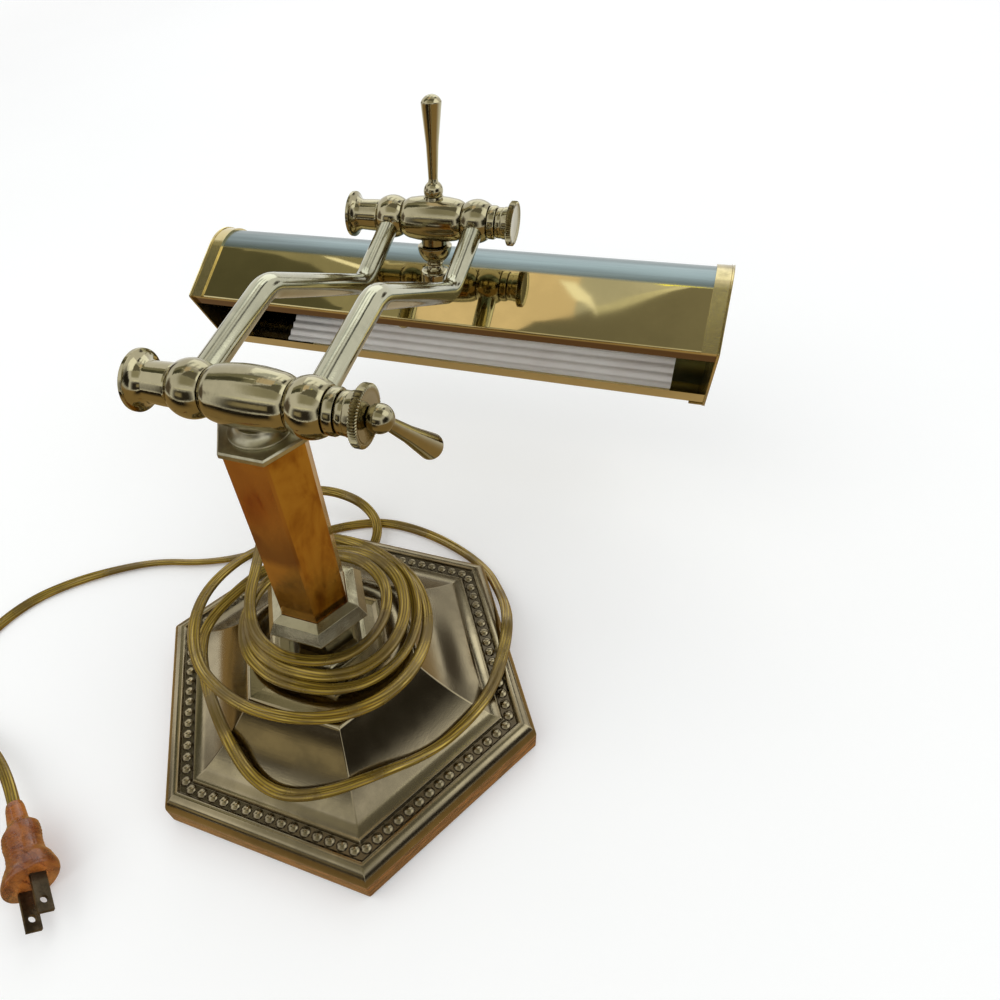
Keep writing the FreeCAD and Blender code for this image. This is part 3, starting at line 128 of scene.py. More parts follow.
def softened(line, radius, closed=False, least=20.0):
    """The flat line with a small arc in place of each corner that turns more than `least`
    degrees. The arc starts and ends at most 0.45 of a run away from its corner."""
    line = np.array(line, float)
    before, after = np.roll(line, 1, axis=0) - line, np.roll(line, -1, axis=0) - line
    turn = math.pi - np.arccos(np.clip((unit(before) * unit(after)).sum(axis=1), -1, 1))
    run = np.minimum(np.linalg.norm(before, axis=1), np.linalg.norm(after, axis=1))
    reach = np.minimum(radius * np.tan(turn / 2), 0.45 * run)[:, None]
    start, end = line + unit(before) * reach, line + unit(after) * reach
    share = np.array([0.0, 0.33, 0.67, 1.0])[:, None, None]
    arcs = (1 - share) ** 2 * start + 2 * share * (1 - share) * line + share**2 * end
    bent = np.degrees(turn) >= least
    if not closed:
        bent[[0, -1]] = False
    return np.concatenate([arcs[:, place] if bent[place] else line[[place]] for place in range(len(line))])


def grid_faces(rows, columns, wrap_rows=False, wrap_columns=False):
    """The quads of a grid of points: each joins two neighbours of a row to the two beyond them."""
    row = np.arange(rows if wrap_rows else rows - 1)
    column = np.arange(columns if wrap_columns else columns - 1)
    row, column = np.meshgrid(row, column, indexing="ij")
    next_row = (row + 1) % rows
    next_column = (column + 1) % columns
    corners = [(row, column), (row, next_column), (next_row, next_column), (next_row, column)]
    return np.stack([down * columns + over for down, over in corners], axis=-1).reshape(-1, 4)


def circle_about(axis, steps):
    """Unit directions square to the axis, all round it."""
    first = unit(np.cross(axis, X if abs(axis[0]) < 0.9 else Y))
    angle = turns(steps)
    return np.cos(angle)[:, None] * first + np.sin(angle)[:, None] * np.cross(axis, first)


def turned(profile, origin, axis, steps=72, closed=False, factor=1.0):
    """A surface of revolution: a profile point (a, r) goes to origin + a along the axis + r times
    a unit circle. `factor` multiplies r, row by row and step by step."""
    reach = profile[:, 1:2] * np.broadcast_to(factor, (len(profile), steps))
    points = origin + profile[:, None, 0:1] * axis + reach[:, :, None] * circle_about(axis, steps)
    return points.reshape(-1, 3), grid_faces(len(profile), steps, closed, True)


def hexagonal(ring, corner):
    """A hexagonal turning: a point (h, z) of the closed ring goes to a hexagon of half width h
    across its flats. Each corner is an arc of the given radius about a smaller hexagon's corner."""
    half = ring[:, 0:1]
    rounding = np.minimum(corner, half * 0.5)
    towards = np.radians(np.repeat(60.0 * np.arange(6), 5))
    angles = towards + np.radians(np.tile([-30.0, -15.0, 0.0, 15.0, 30.0], 6))
    reach = (half - rounding) / math.cos(math.pi / 6)
    x = reach * np.cos(towards) + rounding * np.cos(angles)
    y = reach * np.sin(towards) + rounding * np.sin(angles)
    z = np.repeat(ring[:, 1:2], len(angles), axis=1)
    return np.stack([x, y, z], axis=-1).reshape(-1, 3), grid_faces(len(ring), len(angles), True, True)


def offset(line, distance, closed=False):
    """The flat line moved to its right by the distance, with its corners kept mitred."""
    after = np.roll(line, -1, axis=0) - line
    if not closed:
        after[-1] = after[-2]
    after = unit(after)
    before = np.roll(after, 1, axis=0)
    if not closed:
        before[0] = after[0]
    way = after + before
    middle = np.stack([way[:, 1], -way[:, 0]], axis=1)
    return line + middle * (2 / (middle**2).sum(axis=1))[:, None] * distance


def shade_points(x, section):
    """Points of the shade's frame: (x, reach, depth) goes along X, back over the top panel and
    square into the shade."""
    flat = SHADE_LIP + section[:, 0:1] * PANEL_BACK + section[:, 1:2] * PANEL_IN
    return flat[None] + np.asarray(x, float)[:, None, None] * X


def channel(outer, inner, x):
    """A bent sheet run along X: its outer line, then its inner line backwards, closed into a
    ring that is carried from each x to the next, with a strip of quads over both ends."""
    ring = np.concatenate([outer, inner[::-1]])
    count = len(ring)
    near = np.arange(len(outer) - 1)
    strip = np.stack([near, near + 1, count - 2 - near, count - 1 - near], axis=1)
    faces = [grid_faces(len(x), count, False, True), strip, strip + (len(x) - 1) * count]
    return shade_points(x, ring).reshape(-1, 3), np.concatenate(faces)


def slab(section, low, high, bevel=0.35):
    """A plate with the closed outline `section`, square to X, its rims drawn in by a bevel. Its
    two faces are fans from the outline's middle."""
    middle = np.repeat(section.mean(axis=0)[None], len(section), 0)
    small = offset(section, bevel, closed=True)
    rings = [middle, small, section, section, small, middle]
    levels = [low, low, low + bevel, high - bevel, high, high]
    points = [shade_points([level], ring)[0] for ring, level in zip(rings, levels)]
    return np.concatenate(points), grid_faces(len(rings), len(section), False, True)


def with_ends(grid):
    """A tube of rings of points, with both open ends drawn together to their middles."""
    middles = np.repeat(grid[[0, -1]].mean(axis=1, keepdims=True), grid.shape[1], axis=1)
    grid = np.concatenate([middles[:1], grid, middles[1:]])
    return grid.reshape(-1, 3), grid_faces(len(grid), grid.shape[1], False, True)


def carried(section, path, up, roll=0.0):
    """A closed section carried along a path: a section point (s, u) goes to the path's point + s
    sideways + u upwards, where sideways is square to the path and to the `up` direction. `roll`
    gives the angle by which both directions turn about the path at each of its points."""
    way = unit(np.gradient(path, axis=0))
    side = unit(np.cross(way, up))
    rise = np.cross(side, way)
    roll = np.broadcast_to(roll, len(path))
    cosine, sine = np.cos(roll)[:, None], np.sin(roll)[:, None]
    side, rise = cosine * side + sine * rise, cosine * rise - sine * side
    points = path[:, None] + section[None, :, 0:1] * side[:, None]
    return with_ends(points + section[None, :, 1:2] * rise[:, None])


def linked(name, data):
    """A new object of the scene that shows the data."""
    holder = bpy.data.objects.new(name, data)
    bpy.context.scene.collection.objects.link(holder)
    return holder


def make_piece(name, parts, look, body, *replaced, slot=None, sharp=34.0, weighted=True):
    """Joins surfaces of (points, quads) into one closed mesh with one finish, on a body."""
    points = np.concatenate([part[0] for part in parts]) * MM
    starts = np.cumsum([0] + [len(part[0]) for part in parts])
    faces = np.concatenate([part[1] + start for part, start in zip(parts, starts)])
    mesh = bpy.data.meshes.new(name)
    mesh.vertices.add(len(points))
    mesh.vertices.foreach_set("co", points.astype(np.float32).ravel())
    mesh.loops.add(faces.size)
    mesh.loops.foreach_set("vertex_index", faces.astype(np.int32).ravel())
    mesh.polygons.add(len(faces))
    mesh.polygons.foreach_set("loop_start", np.arange(0, faces.size, 4, dtype=np.int32))
    mesh.update(calc_edges=True)
    work = bmesh.new()
    work.from_mesh(mesh)
    bmesh.ops.remove_doubles(work, verts=work.verts, dist=2e-6)
    bmesh.ops.dissolve_degenerate(work, edges=work.edges, dist=1e-7)
    bmesh.ops.recalc_face_normals(work, faces=work.faces)
    work.to_mesh(mesh)
    work.free()
    mesh.shade_smooth()
    mesh.set_sharp_from_angle(angle=math.radians(sharp))
    mesh.materials.append(finish(look))
    piece = linked(name, mesh)
    if weighted:
        piece.modifiers.new("even_normals", "WEIGHTED_NORMAL").keep_sharp = True
    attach(piece, body)
    if replaced:
        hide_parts(*replaced)
    return piece


# Finishes


def opaque(colour):
    """A colour of three numbers with its fourth. A socket stays as it is."""
    return colour if isinstance(colour, bpy.types.NodeSocket) else (*colour, 1.0)


def dimmed(colour, share):
    return [share * value for value in colour]


def spaced(values):
    """The values by the name of their input, which has spaces for underscores."""
    return {name.replace("_", " "): value for name, value in values.items()}


class Graph:
    """Adds shader nodes to one tree and joins them. Its textures follow its position."""

    def __init__(self, tree, position=None):
        self.tree = tree
        self.position = position

    def fill(self, inputs, values):
        """Links each input that is given a socket, and sets the others."""
        for key, value in values.items():
            if isinstance(value, bpy.types.NodeSocket):
                self.tree.links.new(value, inputs[key])
            else:
                inputs[key].default_value = value

    def add(self, kind, values=None, **settings):
        """Adds a node and gives back its outputs."""
        node = self.tree.nodes.new("ShaderNode" + kind)
        for name, value in settings.items():
            setattr(node, name, value)
        self.fill(node.inputs, values or {})
        return node.outputs

    def group(self, name, **values):
        values = {"Vector": self.position} | spaced(values)
        return self.add("Group", values, node_tree=bpy.data.node_groups[name])

    def placed(self, vector, scale, rotation=(0, 0, 0)):
        return self.add("Mapping", {"Vector": vector, "Scale": scale, "Rotation": rotation})["Vector"]

    def noise(self, scale, detail=4.0, roughness=0.55, distortion=0.0, stretch=None, turn=(0, 0, 0)):
        """Noise at the position, which can be stretched and turned first."""
        place = self.placed(self.position, stretch, turn) if stretch else self.position
        values = {"Vector": place, "Scale": scale, "Detail": detail, "Roughness": roughness}
        return self.add("TexNoise", values | {"Distortion": distortion})["Fac"]

    def mix(self, share, first, second):
        """A mix of two colours, which are the node's sockets 6 and 7, with the result at 2."""
        return self.add("Mix", {0: share, 6: opaque(first), 7: opaque(second)}, data_type="RGBA")[2]

    def calc(self, operation, first, second=0.5):
        return self.add("Math", {0: first, 1: second}, operation=operation)[0]

    def times(self, first, second):
        return self.calc("MULTIPLY", first, second)

    def plus(self, first, second):
        return self.calc("ADD", first, second)

    def blend(self, first, share, second):
        """The two values added, the first with the given share and the second with the rest."""
        return self.plus(self.times(first, share), self.times(second, 1 - share))

    def spread(self, value, low, high, new_low=0.0, new_high=1.0):
        """The value moved from one range to another, with a soft start and end."""
        values = {"Value": value, "From Min": low, "From Max": high, "To Min": new_low, "To Max": new_high}
        return self.add("MapRange", values, interpolation_type="SMOOTHSTEP")["Result"]

    def within(self, value, low, full, last, high):
        """A mask that is 1 from `full` to `last`, and falls to 0 at `low` and `high`."""
        return self.times(self.spread(value, low, full), self.spread(value, high, last))

    def split(self, vector):
        return self.add("SeparateXYZ", {"Vector": vector})

    def along(self, way):
        """How far the position reaches along a direction."""
        return self.add("VectorMath", {0: self.position, 1: way}, operation="DOT_PRODUCT")["Value"]

    def bump(self, height, strength, distance, **under):
        values = {"Height": height, "Strength": strength, "Distance": distance}
        return self.add("Bump", values | under)["Normal"]

    def looked_at(self):
        """1 for a ray that the camera, a mirror or clear plastic sends out, and 0 for others."""
        rays = self.add("LightPath")
        seen = self.calc("MAXIMUM", rays["Is Camera Ray"], rays["Is Glossy Ray"])
        return self.calc("MAXIMUM", seen, rays["Is Transmission Ray"])


class Finish(Graph):
    """A material, the inputs of its shader and its piece's own coordinates."""

    def __init__(self, name):
        self.material = bpy.data.materials.new(name)
        self.material.use_nodes = True
        super().__init__(self.material.node_tree)
        self.tree.nodes.clear()
        shader = self.tree.nodes.new("ShaderNodeBsdfPrincipled")
        self.add("OutputMaterial", {"Surface": shader.outputs["BSDF"]})
        self.inputs = shader.inputs
        self.places = self.add("TexCoord")
        self.position = self.places["Object"]

    def show(self, **values):
        """Sets or links the shader's inputs."""
        self.fill(self.inputs, spaced(values))


def new_group(name, inputs, outputs):
    """A node group: its graph, what comes in and what goes out. A vector comes in without a
    value, a colour with four numbers and a plain value with one."""
    tree = bpy.data.node_groups.new(name, "ShaderNodeTree")
    for label, value in inputs.items():
        kind = "Vector" if value is None else "Color" if isinstance(value, tuple) else "Float"
        socket = tree.interface.new_socket(name=label, in_out="INPUT", socket_type="NodeSocket" + kind)
        if value is not None:
            socket.default_value = value
    for label, kind in outputs.items():
        tree.interface.new_socket(name=label, in_out="OUTPUT", socket_type="NodeSocket" + kind)
    source = tree.nodes.new("NodeGroupInput").outputs
    return Graph(tree, source["Vector"]), source, tree.nodes.new("NodeGroupOutput").inputs


def tarnish_group():
    """Cloudy tarnish: two sizes of noise choose between a bright and a dull colour, and the dull
    patches are rougher. The height is a fine grain."""
    inputs = {
        "Vector": None,
        "Bright": (0.6, 0.5, 0.3, 1.0),
        "Dull": (0.3, 0.25, 0.15, 1.0),
        "Patch Scale": 22.0,
        "Low Roughness": 0.12,
        "High Roughness": 0.28,
    }
    outputs = {"Color": "Color", "Roughness": "Float", "Height": "Float"}
    graph, source, target = new_group("tarnish", inputs, outputs)
    wide = graph.noise(source["Patch Scale"], 3.0, 0.5, 0.4)
    fine = graph.noise(graph.times(source["Patch Scale"], 9.0), 5.0, 0.6)
    mask = graph.spread(graph.blend(wide, 0.75, fine), 0.38, 0.64)
    extra = graph.calc("SUBTRACT", source["High Roughness"], source["Low Roughness"])
    values = {
        "Color": graph.mix(mask, source["Bright"], source["Dull"]),
        "Roughness": graph.plus(source["Low Roughness"], graph.times(mask, extra)),
        "Height": graph.noise(1400.0, 2.0),
    }
    graph.fill(target, values)


def hairline_group():
    """Fine scratches: noise that is stretched along two crossing directions."""
    graph, source, target = new_group("hairlines", {"Vector": None, "Scale": 60.0}, {"Height": "Float"})
    one = graph.noise(source["Scale"], 2.0, 0.5, stretch=(1.0, 26.0, 26.0), turn=(0.3, 0.5, 0.9))
    two = graph.noise(source["Scale"], 2.0, 0.5, stretch=(24.0, 1.0, 24.0), turn=(0.7, -0.4, 0.2))
    graph.fill(target, {"Height": graph.times(one, two)})


def metal(name, bright, dull, low, high, patch, grain=0.03):
    """A polished metal with cloudy tarnish, a fine grain and hairline scratches."""
    made = Finish(name)
    made.tarnish = made.group(
        "tarnish",
        Bright=opaque(bright),
        Dull=opaque(dull),
        Patch_Scale=patch,
        Low_Roughness=low,
        High_Roughness=high,
    )
    scratches = made.group("hairlines", Scale=70.0)
    fine = made.bump(made.tarnish["Height"], grain, 0.0002)
    made.show(
        Base_Color=made.tarnish["Color"],
        Roughness=made.tarnish["Roughness"],
        Metallic=1.0,
        Normal=made.bump(scratches["Height"], 0.05, 0.0005, Normal=fine),
    )
    return made


def base_bronze(colours):
    """The base: brown bronze, with a painted amber reflection of a wooden table on the skirt under the rim,
    which is less metallic there, and a darker floor in the bead band. How far out a place is counts as
    half the width of the hexagon through it."""
    made = metal("base_bronze", colours.bronze, dimmed(colours.bronze, 0.6), 0.11, 0.24, 14.0, 0.01)
    reach = 0.0
    for turn in np.radians([30, 90, 150]):
        side = made.calc("ABSOLUTE", made.along((math.cos(turn), math.sin(turn), 0.0)))
        reach = made.calc("MAXIMUM", side, reach)
    height = made.split(made.position)["Z"]
    # A darker floor in the bead band, between the beads.
    band = made.within(reach, 0.0687, 0.0696, 0.0743, 0.0751)
    band = made.times(band, made.within(height, 0.014, 0.0165, 0.0174, 0.0184))
    # The skirt under the rim: a painted amber reflection of a wooden table, streaked like wood grain, and
    # less metallic.
    wobble = made.times(made.calc("SUBTRACT", made.noise(60.0), 0.5), 0.001)
    below = made.spread(made.plus(height, wobble), 0.0126, 0.0114)
    streaks = made.noise(3.0, 5.0, 0.6, 1.2, stretch=(30.0, 30.0, 160.0))
    amber = made.mix(made.spread(streaks, 0.35, 0.66), (0.10, 0.034, 0.010), (0.34, 0.125, 0.032))
    skirted = made.mix(below, made.tarnish["Color"], amber)
    made.show(
        Base_Color=made.mix(band, skirted, (0.12, 0.10, 0.065)),
        Metallic=made.plus(made.times(below, -0.7), 1.0),
    )
    return made


def column_painted_reflection(colours):
    """The column's faces: brass painted with the amber reflection of a wooden table, a deep amber that
    clears to a gold painted sheen in slow upright clouds. The face that looks to the front has a redder
    painted reflection, with a dark painted patch over its gold painted foot."""
    made = Finish("column_painted_reflection")
    slow = made.noise(2.2, 4.0, 0.55, 1.1, stretch=(22.0, 22.0, 7.0))
    quick = made.noise(2.0, 5.0, 0.6, 0.6, stretch=(60.0, 60.0, 26.0))
    both = made.blend(slow, 0.7, quick)
    # Deep to lighter amber: a painted reflection of a wooden table on the brass.
    deep = made.mix(made.spread(both, 0.36, 0.60), (0.30, 0.115, 0.022), colours.amber)
    # Gold clouds of painted sheen.
    painted_sheen = made.mix(made.times(made.spread(both, 0.42, 0.60), 0.7), deep, (0.66, 0.40, 0.09))
    # The front face: a redder painted reflection, with a dark painted patch over a gold painted foot.
    place = made.split(made.position)
    wave = made.plus(place["Z"], made.times(slow, 0.03))
    dark = made.mix(made.spread(wave, 0.138, 0.160), (0.20, 0.085, 0.04), (0.52, 0.25, 0.075))
    red = made.mix(made.spread(wave, 0.134, 0.126), dark, (0.60, 0.34, 0.09))
    front = made.times(made.spread(place["Y"], -0.0122, -0.0128), 0.75)
    made.show(
        Base_Color=made.mix(front, painted_sheen, red),
        Metallic=1.0,
        Roughness=made.spread(quick, 0.3, 0.7, 0.10, 0.24),
        Normal=made.bump(slow, 0.12, 0.002),
    )
    return made


def shade_gold(colours):
    """The shade: gold on its flat panels, a brushed grey-blue painted reflection of the sky over the
    rounded back, a brown painted reflection of a table on the front lip, and a sheet that is a little
    dented, so that what it mirrors breaks into facets."""
    made = metal("shade_gold", colours.shade, dimmed(colours.shade, 0.8), 0.02, 0.05, 9.0)
    reach = made.along(PANEL_BACK)
    depth = made.along(PANEL_IN)
    lip = float(SHADE_LIP @ PANEL_BACK) * MM
    top = float(SHADE_LIP @ PANEL_IN) * MM
    # The rounded back: a grey-blue painted reflection of the sky, brushed along the shade.
    sky_reflection = made.spread(reach, lip + 0.0325, lip + 0.0345)
    # The front lip: a brown painted reflection of a table.
    brown = made.within(depth, top + 0.0009, top + 0.0024, top + 0.010, top + 0.012)
    brown = made.times(made.spread(reach, lip + 0.0009, lip + 0.0003), brown)
    brushed = made.spread(made.noise(2.0, stretch=(3.0, 160.0, 160.0)), 0.35, 0.65)
    blue = made.mix(brushed, colours.sky_reflection, dimmed(colours.sky_reflection, 1.25))
    colour = made.mix(sky_reflection, made.tarnish["Color"], blue)
    values = {"Vector": made.placed(made.position, (14.0, 34.0, 34.0)), "Scale": 1.0, "Smoothness": 0.35}
    dents = made.add("TexVoronoi", values, feature="SMOOTH_F1")["Distance"]
    made.show(
        Base_Color=made.mix(brown, colour, (0.17, 0.10, 0.045)),
        Roughness=made.plus(made.times(sky_reflection, 0.26), made.tarnish["Roughness"]),
        Normal=made.bump(dents, 0.09, 0.004),
    )
    return made


def enamel(colours):
    """White enamel with a faint rosy cast, slightly uneven."""
    made = Finish("reflector_enamel")
    clouds = made.noise(30.0)
    made.show(
        Base_Color=made.mix(made.spread(clouds, 0.3, 0.7), colours.enamel, (0.83, 0.79, 0.75)),
        Roughness=made.spread(clouds, 0.3, 0.7, 0.28, 0.42),
        Normal=made.bump(made.noise(900.0), 0.05, 0.0002),
        Coat_Weight=0.3,
    )
    return made


def black_phenolic():
    """Black moulded plastic with a soft gloss and a few dusty specks."""
    made = Finish("black_phenolic")
    dust = made.spread(made.noise(500.0, 6.0), 0.62, 0.75)
    made.show(
        Base_Color=made.mix(dust, (0.012, 0.012, 0.014), (0.10, 0.10, 0.10)),
        Roughness=made.spread(made.noise(90.0), 0.3, 0.7, 0.16, 0.32),
        Normal=made.bump(made.noise(700.0), 0.06, 0.0002),
    )
    return made


def cord_vinyl(colours):
    """Clear golden vinyl over twisted copper: strands run slanting along the cord, seen through a
    glossy coat. U runs round the section and V along the cord."""
    made = Finish("cord_vinyl")
    uv = made.placed(made.add("UVMap", uv_map="along")["UV"], (7.0, 0.25, 1.0))
    values = {"Vector": uv, "Scale": 1.0, "Distortion": 1.5, "Detail": 3.0}
    strands = made.add("TexWave", values, wave_type="BANDS", bands_direction="DIAGONAL")["Fac"]
    patches = made.spread(made.noise(45.0), 0.42, 0.62)
    copper = made.mix(strands, colours.cord, colours.copper)
    made.show(
        Base_Color=made.mix(patches, copper, (0.16, 0.105, 0.02)),
        Metallic=0.55,
        Roughness=made.spread(patches, 0.0, 1.0, 0.20, 0.32),
        Coat_Weight=0.35,
        Coat_Roughness=0.06,
        Subsurface_Weight=0.15,
        Subsurface_Radius=(0.003, 0.002, 0.001),
        Normal=made.bump(strands, 0.12, 0.0003),
    )
    return made


def plug_vinyl(colours):
    """Amber moulded vinyl that lets light through, darker in streaks."""
    made = Finish("plug_vinyl")
    streaks = made.noise(1.6, 4.0, 0.6, 0.8, stretch=(60.0, 160.0, 60.0), turn=(0, 0, 0.66))
    made.show(
        Base_Color=made.mix(made.spread(streaks, 0.38, 0.66), colours.plug, (0.20, 0.05, 0.012)),
        Roughness=made.spread(streaks, 0.3, 0.7, 0.14, 0.30),
        Transmission_Weight=0.7,
        IOR=1.5,
        Coat_Weight=0.25,
        Normal=made.bump(made.noise(300.0), 0.03, 0.0003),
    )
    return made


def felt():
    """Green felt: a soft tangle of fine noise in colour and height."""
    made = Finish("green_felt")
    fibres = made.noise(1800.0, 8.0, 0.7)
    made.show(
        Base_Color=made.mix(fibres, (0.02, 0.05, 0.025), (0.05, 0.10, 0.06)),
        Roughness=made.spread(fibres, 0.3, 0.7, 0.85, 1.0),
        Normal=made.bump(fibres, 0.6, 0.0004),
    )
    return made


def build_finishes(colours):
    """Every finish, by the name its pieces ask for. A plain metal's numbers are its low and high
    roughness, the scale of its patches and the strength of its grain."""
    tarnish_group()
    hairline_group()
    return {
        # brass, knuckle, satin and collar are one polished brass in four tones: the darker knuckle and
        # collar are partly painted shade, the paler satin partly painted light.
        "brass": metal("pale_brass", colours.brass, dimmed(colours.brass, 0.8), 0.07, 0.18, 30.0),
        "knuckle": metal("knuckle_brass", colours.knuckle, dimmed(colours.knuckle, 0.8), 0.05, 0.13, 30.0),
        "satin": metal("satin_brass", (0.56, 0.53, 0.39), (0.31, 0.28, 0.19), 0.32, 0.42, 40.0),
        "collar": metal("collar_brass", (0.43, 0.39, 0.26), (0.22, 0.19, 0.12), 0.10, 0.26, 34.0),
        "base": base_bronze(colours),
        "column": column_painted_reflection(colours),
        "shade": shade_gold(colours),
        "cap": metal("cap_brass", colours.shade, dimmed(colours.shade, 0.6), 0.12, 0.26, 24.0),
        "enamel": enamel(colours),
        "black": black_phenolic(),
        "steel": metal("zinc_steel", (0.42, 0.42, 0.43), (0.25, 0.25, 0.26), 0.25, 0.45, 50.0),
        "iron": metal("cast_iron", (0.05, 0.05, 0.055), (0.03, 0.03, 0.03), 0.6, 0.8, 80.0, 0.5),
        "felt": felt(),
        "cord": cord_vinyl(colours),
        "plug": plug_vinyl(colours),
        "blade": metal("blade_brass", (0.16, 0.125, 0.08), (0.07, 0.055, 0.035), 0.25, 0.5, 90.0, 0.2),
    }


# The slot that a piece of each finish would fill. Nothing in this script reads this table.
SLOTS = {
    **dict.fromkeys(["brass", "knuckle", "satin", "collar"], "polished_brass"),
    **dict.fromkeys(["shade", "cap"], "shade_brass"),
    "base": "base_brass",
    "column": "column_brass",
    "enamel": "white_enamel",
    "black": "black_phenolic",
    "cord": "cord_vinyl",
    "plug": "plug_vinyl",
}
FINISHES = {}


def finish(name):
    """The material of a finish. All are made when the first is asked for."""
    if not FINISHES:
        FINISHES.update(build_finishes(bpy.context.scene.lamp_colours))
    return FINISHES[name].material


def repaint(name, *nodes):
    """Gives nodes of the frame one of the finishes."""
    for node in nodes:
        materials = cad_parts[node].data.materials
        materials.clear()
        materials.append(finish(name))


# Settings


def colour_setting(label, description, value):
    return bpy.props.FloatVectorProperty(
        name=label, description=description, default=value, size=3, subtype="COLOR", min=0.0, max=1.0
    )


def length_setting(label, description, value):
    return bpy.props.FloatProperty(name=label, description=description, default=value, unit="LENGTH")


class LampColours(bpy.types.PropertyGroup):
    """The colours of the lamp's finishes."""

    brass: colour_setting("Brass", "Arms, switch knob and holder's sleeve", (0.48, 0.465, 0.335))
    # The knuckles' brass is darker than the arms': partly its own tone, partly painted shade.
    knuckle: colour_setting("Knuckle", "Knuckles, levers and neck", (0.42, 0.375, 0.235))
    bronze: colour_setting("Bronze", "The base and its plinth", (0.38, 0.32, 0.20))
    # The column's lighter amber is a painted reflection of a wooden table.
    amber: colour_setting("Amber", "The lighter clouds of the column", (0.66, 0.34, 0.055))
    shade: colour_setting("Shade", "The flat panels of the shade and its caps", (0.68, 0.57, 0.29))
    # A grey-blue painted reflection of the sky on the shade's rounded back.
    sky_reflection: colour_setting("Cool", "The rounded back of the shade", (0.185, 0.23, 0.23))
    enamel: colour_setting("Enamel", "The ribbed lining of the shade", (0.90, 0.88, 0.84))
    cord: colour_setting("Cord", "The clear vinyl of the cord", (0.42, 0.29, 0.035))
    copper: colour_setting("Copper", "The strands inside the cord", (0.17, 0.105, 0.02))
    plug: colour_setting("Plug", "The moulded plug", (0.50, 0.17, 0.03))


class LampSizes(bpy.types.PropertyGroup):
    """Sizes of the small details."""

    bead: length_setting("Bead", "Width of a bead of the base's band", 0.0051)
    beads: bpy.props.IntProperty(
        name="Beads", description="Beads along one side of the base", default=15, min=3
    )
    flute: length_setting("Flute", "Depth of the lining's flutes", 0.0011)
    cord_width: length_setting("Cord width", "Width of the flat twin cord", 0.0056)
    cord_thickness: length_setting("Cord thickness", "Thickness of the twin cord", 0.0029)
    floor: length_setting("Floor", "Half the width of the floor", 6.0)


# Base and stand

# Rings are (half width, height). The base's outside runs up its skirt, over its rim, through the
# sunk band and over a flat flange, then up a hollow slope and its shoulder to the top.
RIM_START = (82.25, 11.5)
RIM_SIZE = (6.1, 7.0)
SLOPE_START = (64.1, 19.0)
SLOPE_RADIUS = 81.8
SHOULDER_START = (37.993, 42.922)
SHOULDER_RADIUS = 3.5
BASE_SKIRT = [(80.25, 1.2), (81.9, 1.2), (82.25, 1.6)]
BASE_BAND = [(75.3, 18.3), (74.5, 17.3), (69.35, 17.2), (68.9, 18.0), (68.3, 18.5), (67.2, 18.45)]
BASE_TOP = [(30.0, 45.1), (BORE, SHELL_TOP)]
BASE_INSIDE = [(BORE, 43.2), (30.0, 43.1), (36.5, 41.6), (60.5, 17.0), (74.0, 15.2), (80.25, 10.0)]
BAND_MIDDLE = 71.95
BEAD_LEVEL = 17.05
BEAD_FLATTENING = 0.52

PLINTH = [
    (BORE, SHELL_TOP), (26.0, SHELL_TOP), (26.0, 46.76), (24.7, 48.26), (23.6, 48.11),
    (21.7, PLINTH_TOP), (BORE, PLINTH_TOP),
]
COLLAR_FOOT = [(BORE, PLINTH_TOP), (17.3, PLINTH_TOP), (17.3, 48.26), (15.2, 48.8), (13.1, 50.26)]
COLLAR_MOUTH = [(20.4, COLUMN_FOOT), (17.6, 79.06), (13.5, 80.56), (13.5, 74.1), (BORE, 74.1)]
BELL_START = (11.7, 52.56)
BELL_SIZE = (6.9, 19.5)
TUBE = [
    (12.2, COLUMN_FOOT), (COLUMN_HALF, COLUMN_FOOT), (COLUMN_HALF, COLUMN_TOP), (12.2, COLUMN_TOP),
]
CAP = [
    (BORE, COLUMN_TOP), (COLUMN_HALF, COLUMN_TOP), (13.7, 167.7), (14.525, 168.06),
    (14.525, 169.66), (13.925, CAP_TOP), (BORE, CAP_TOP),
]
# The saddle is (height over its seat, radius), and stands a hair over the cap.
SADDLE = [(0, 4.95), (0, 11.0), (0.8, 11.0), (4.0, 7.6, 4.0, 1), (4.0, 4.95)]
SEAT = Z * (CAP_TOP + 0.01)


def base_ring():
    """The base's whole section. The rim is a quarter ellipse, the slope an arc of 25 degrees and
    the shoulder an arc of 45 degrees that starts where the slope ends."""
    rim = arc(RIM_START, RIM_SIZE, 0, 90, 13)
    slope = arc(SLOPE_START, SLOPE_RADIUS, -120, -145, 20)
    shoulder = arc(SHOULDER_START, SHOULDER_RADIUS, 35, 80, 6)[1:]
    outside = np.concatenate([BASE_SKIRT, rim, BASE_BAND, slope, shoulder, BASE_TOP])
    return np.concatenate([softened(outside, 0.35, least=35), BASE_INSIDE])


def bead_band(width, count):
    """Rows of beads: each is half a ball, flattened in its height, set on the band's floor in the
    middle of its width, `count` to a side and equally spaced."""
    radius = width / 2
    rise = np.radians([0, 24, 48, 70, 90])
    profile = radius * np.stack([BEAD_FLATTENING * np.sin(rise), np.cos(rise)], axis=1)
    dome, faces = turned(profile, np.zeros(3), Z, steps=12)
    side = 2 * BAND_MIDDLE * math.tan(math.pi / 6)
    along = (np.arange(count)[:, None] + 0.5) / count * side - side / 2
    faces = (faces + np.arange(count)[:, None, None] * len(dome)).reshape(-1, 4)
    parts = []
    for turn in np.radians(30 + 60 * np.arange(6)):
        outward = np.array([math.cos(turn), math.sin(turn), 0])
        centres = outward * BAND_MIDDLE + along * np.cross(Z, outward) + Z * BEAD_LEVEL
        parts.append(((centres[:, None] + dome).reshape(-1, 3), faces))
    return parts


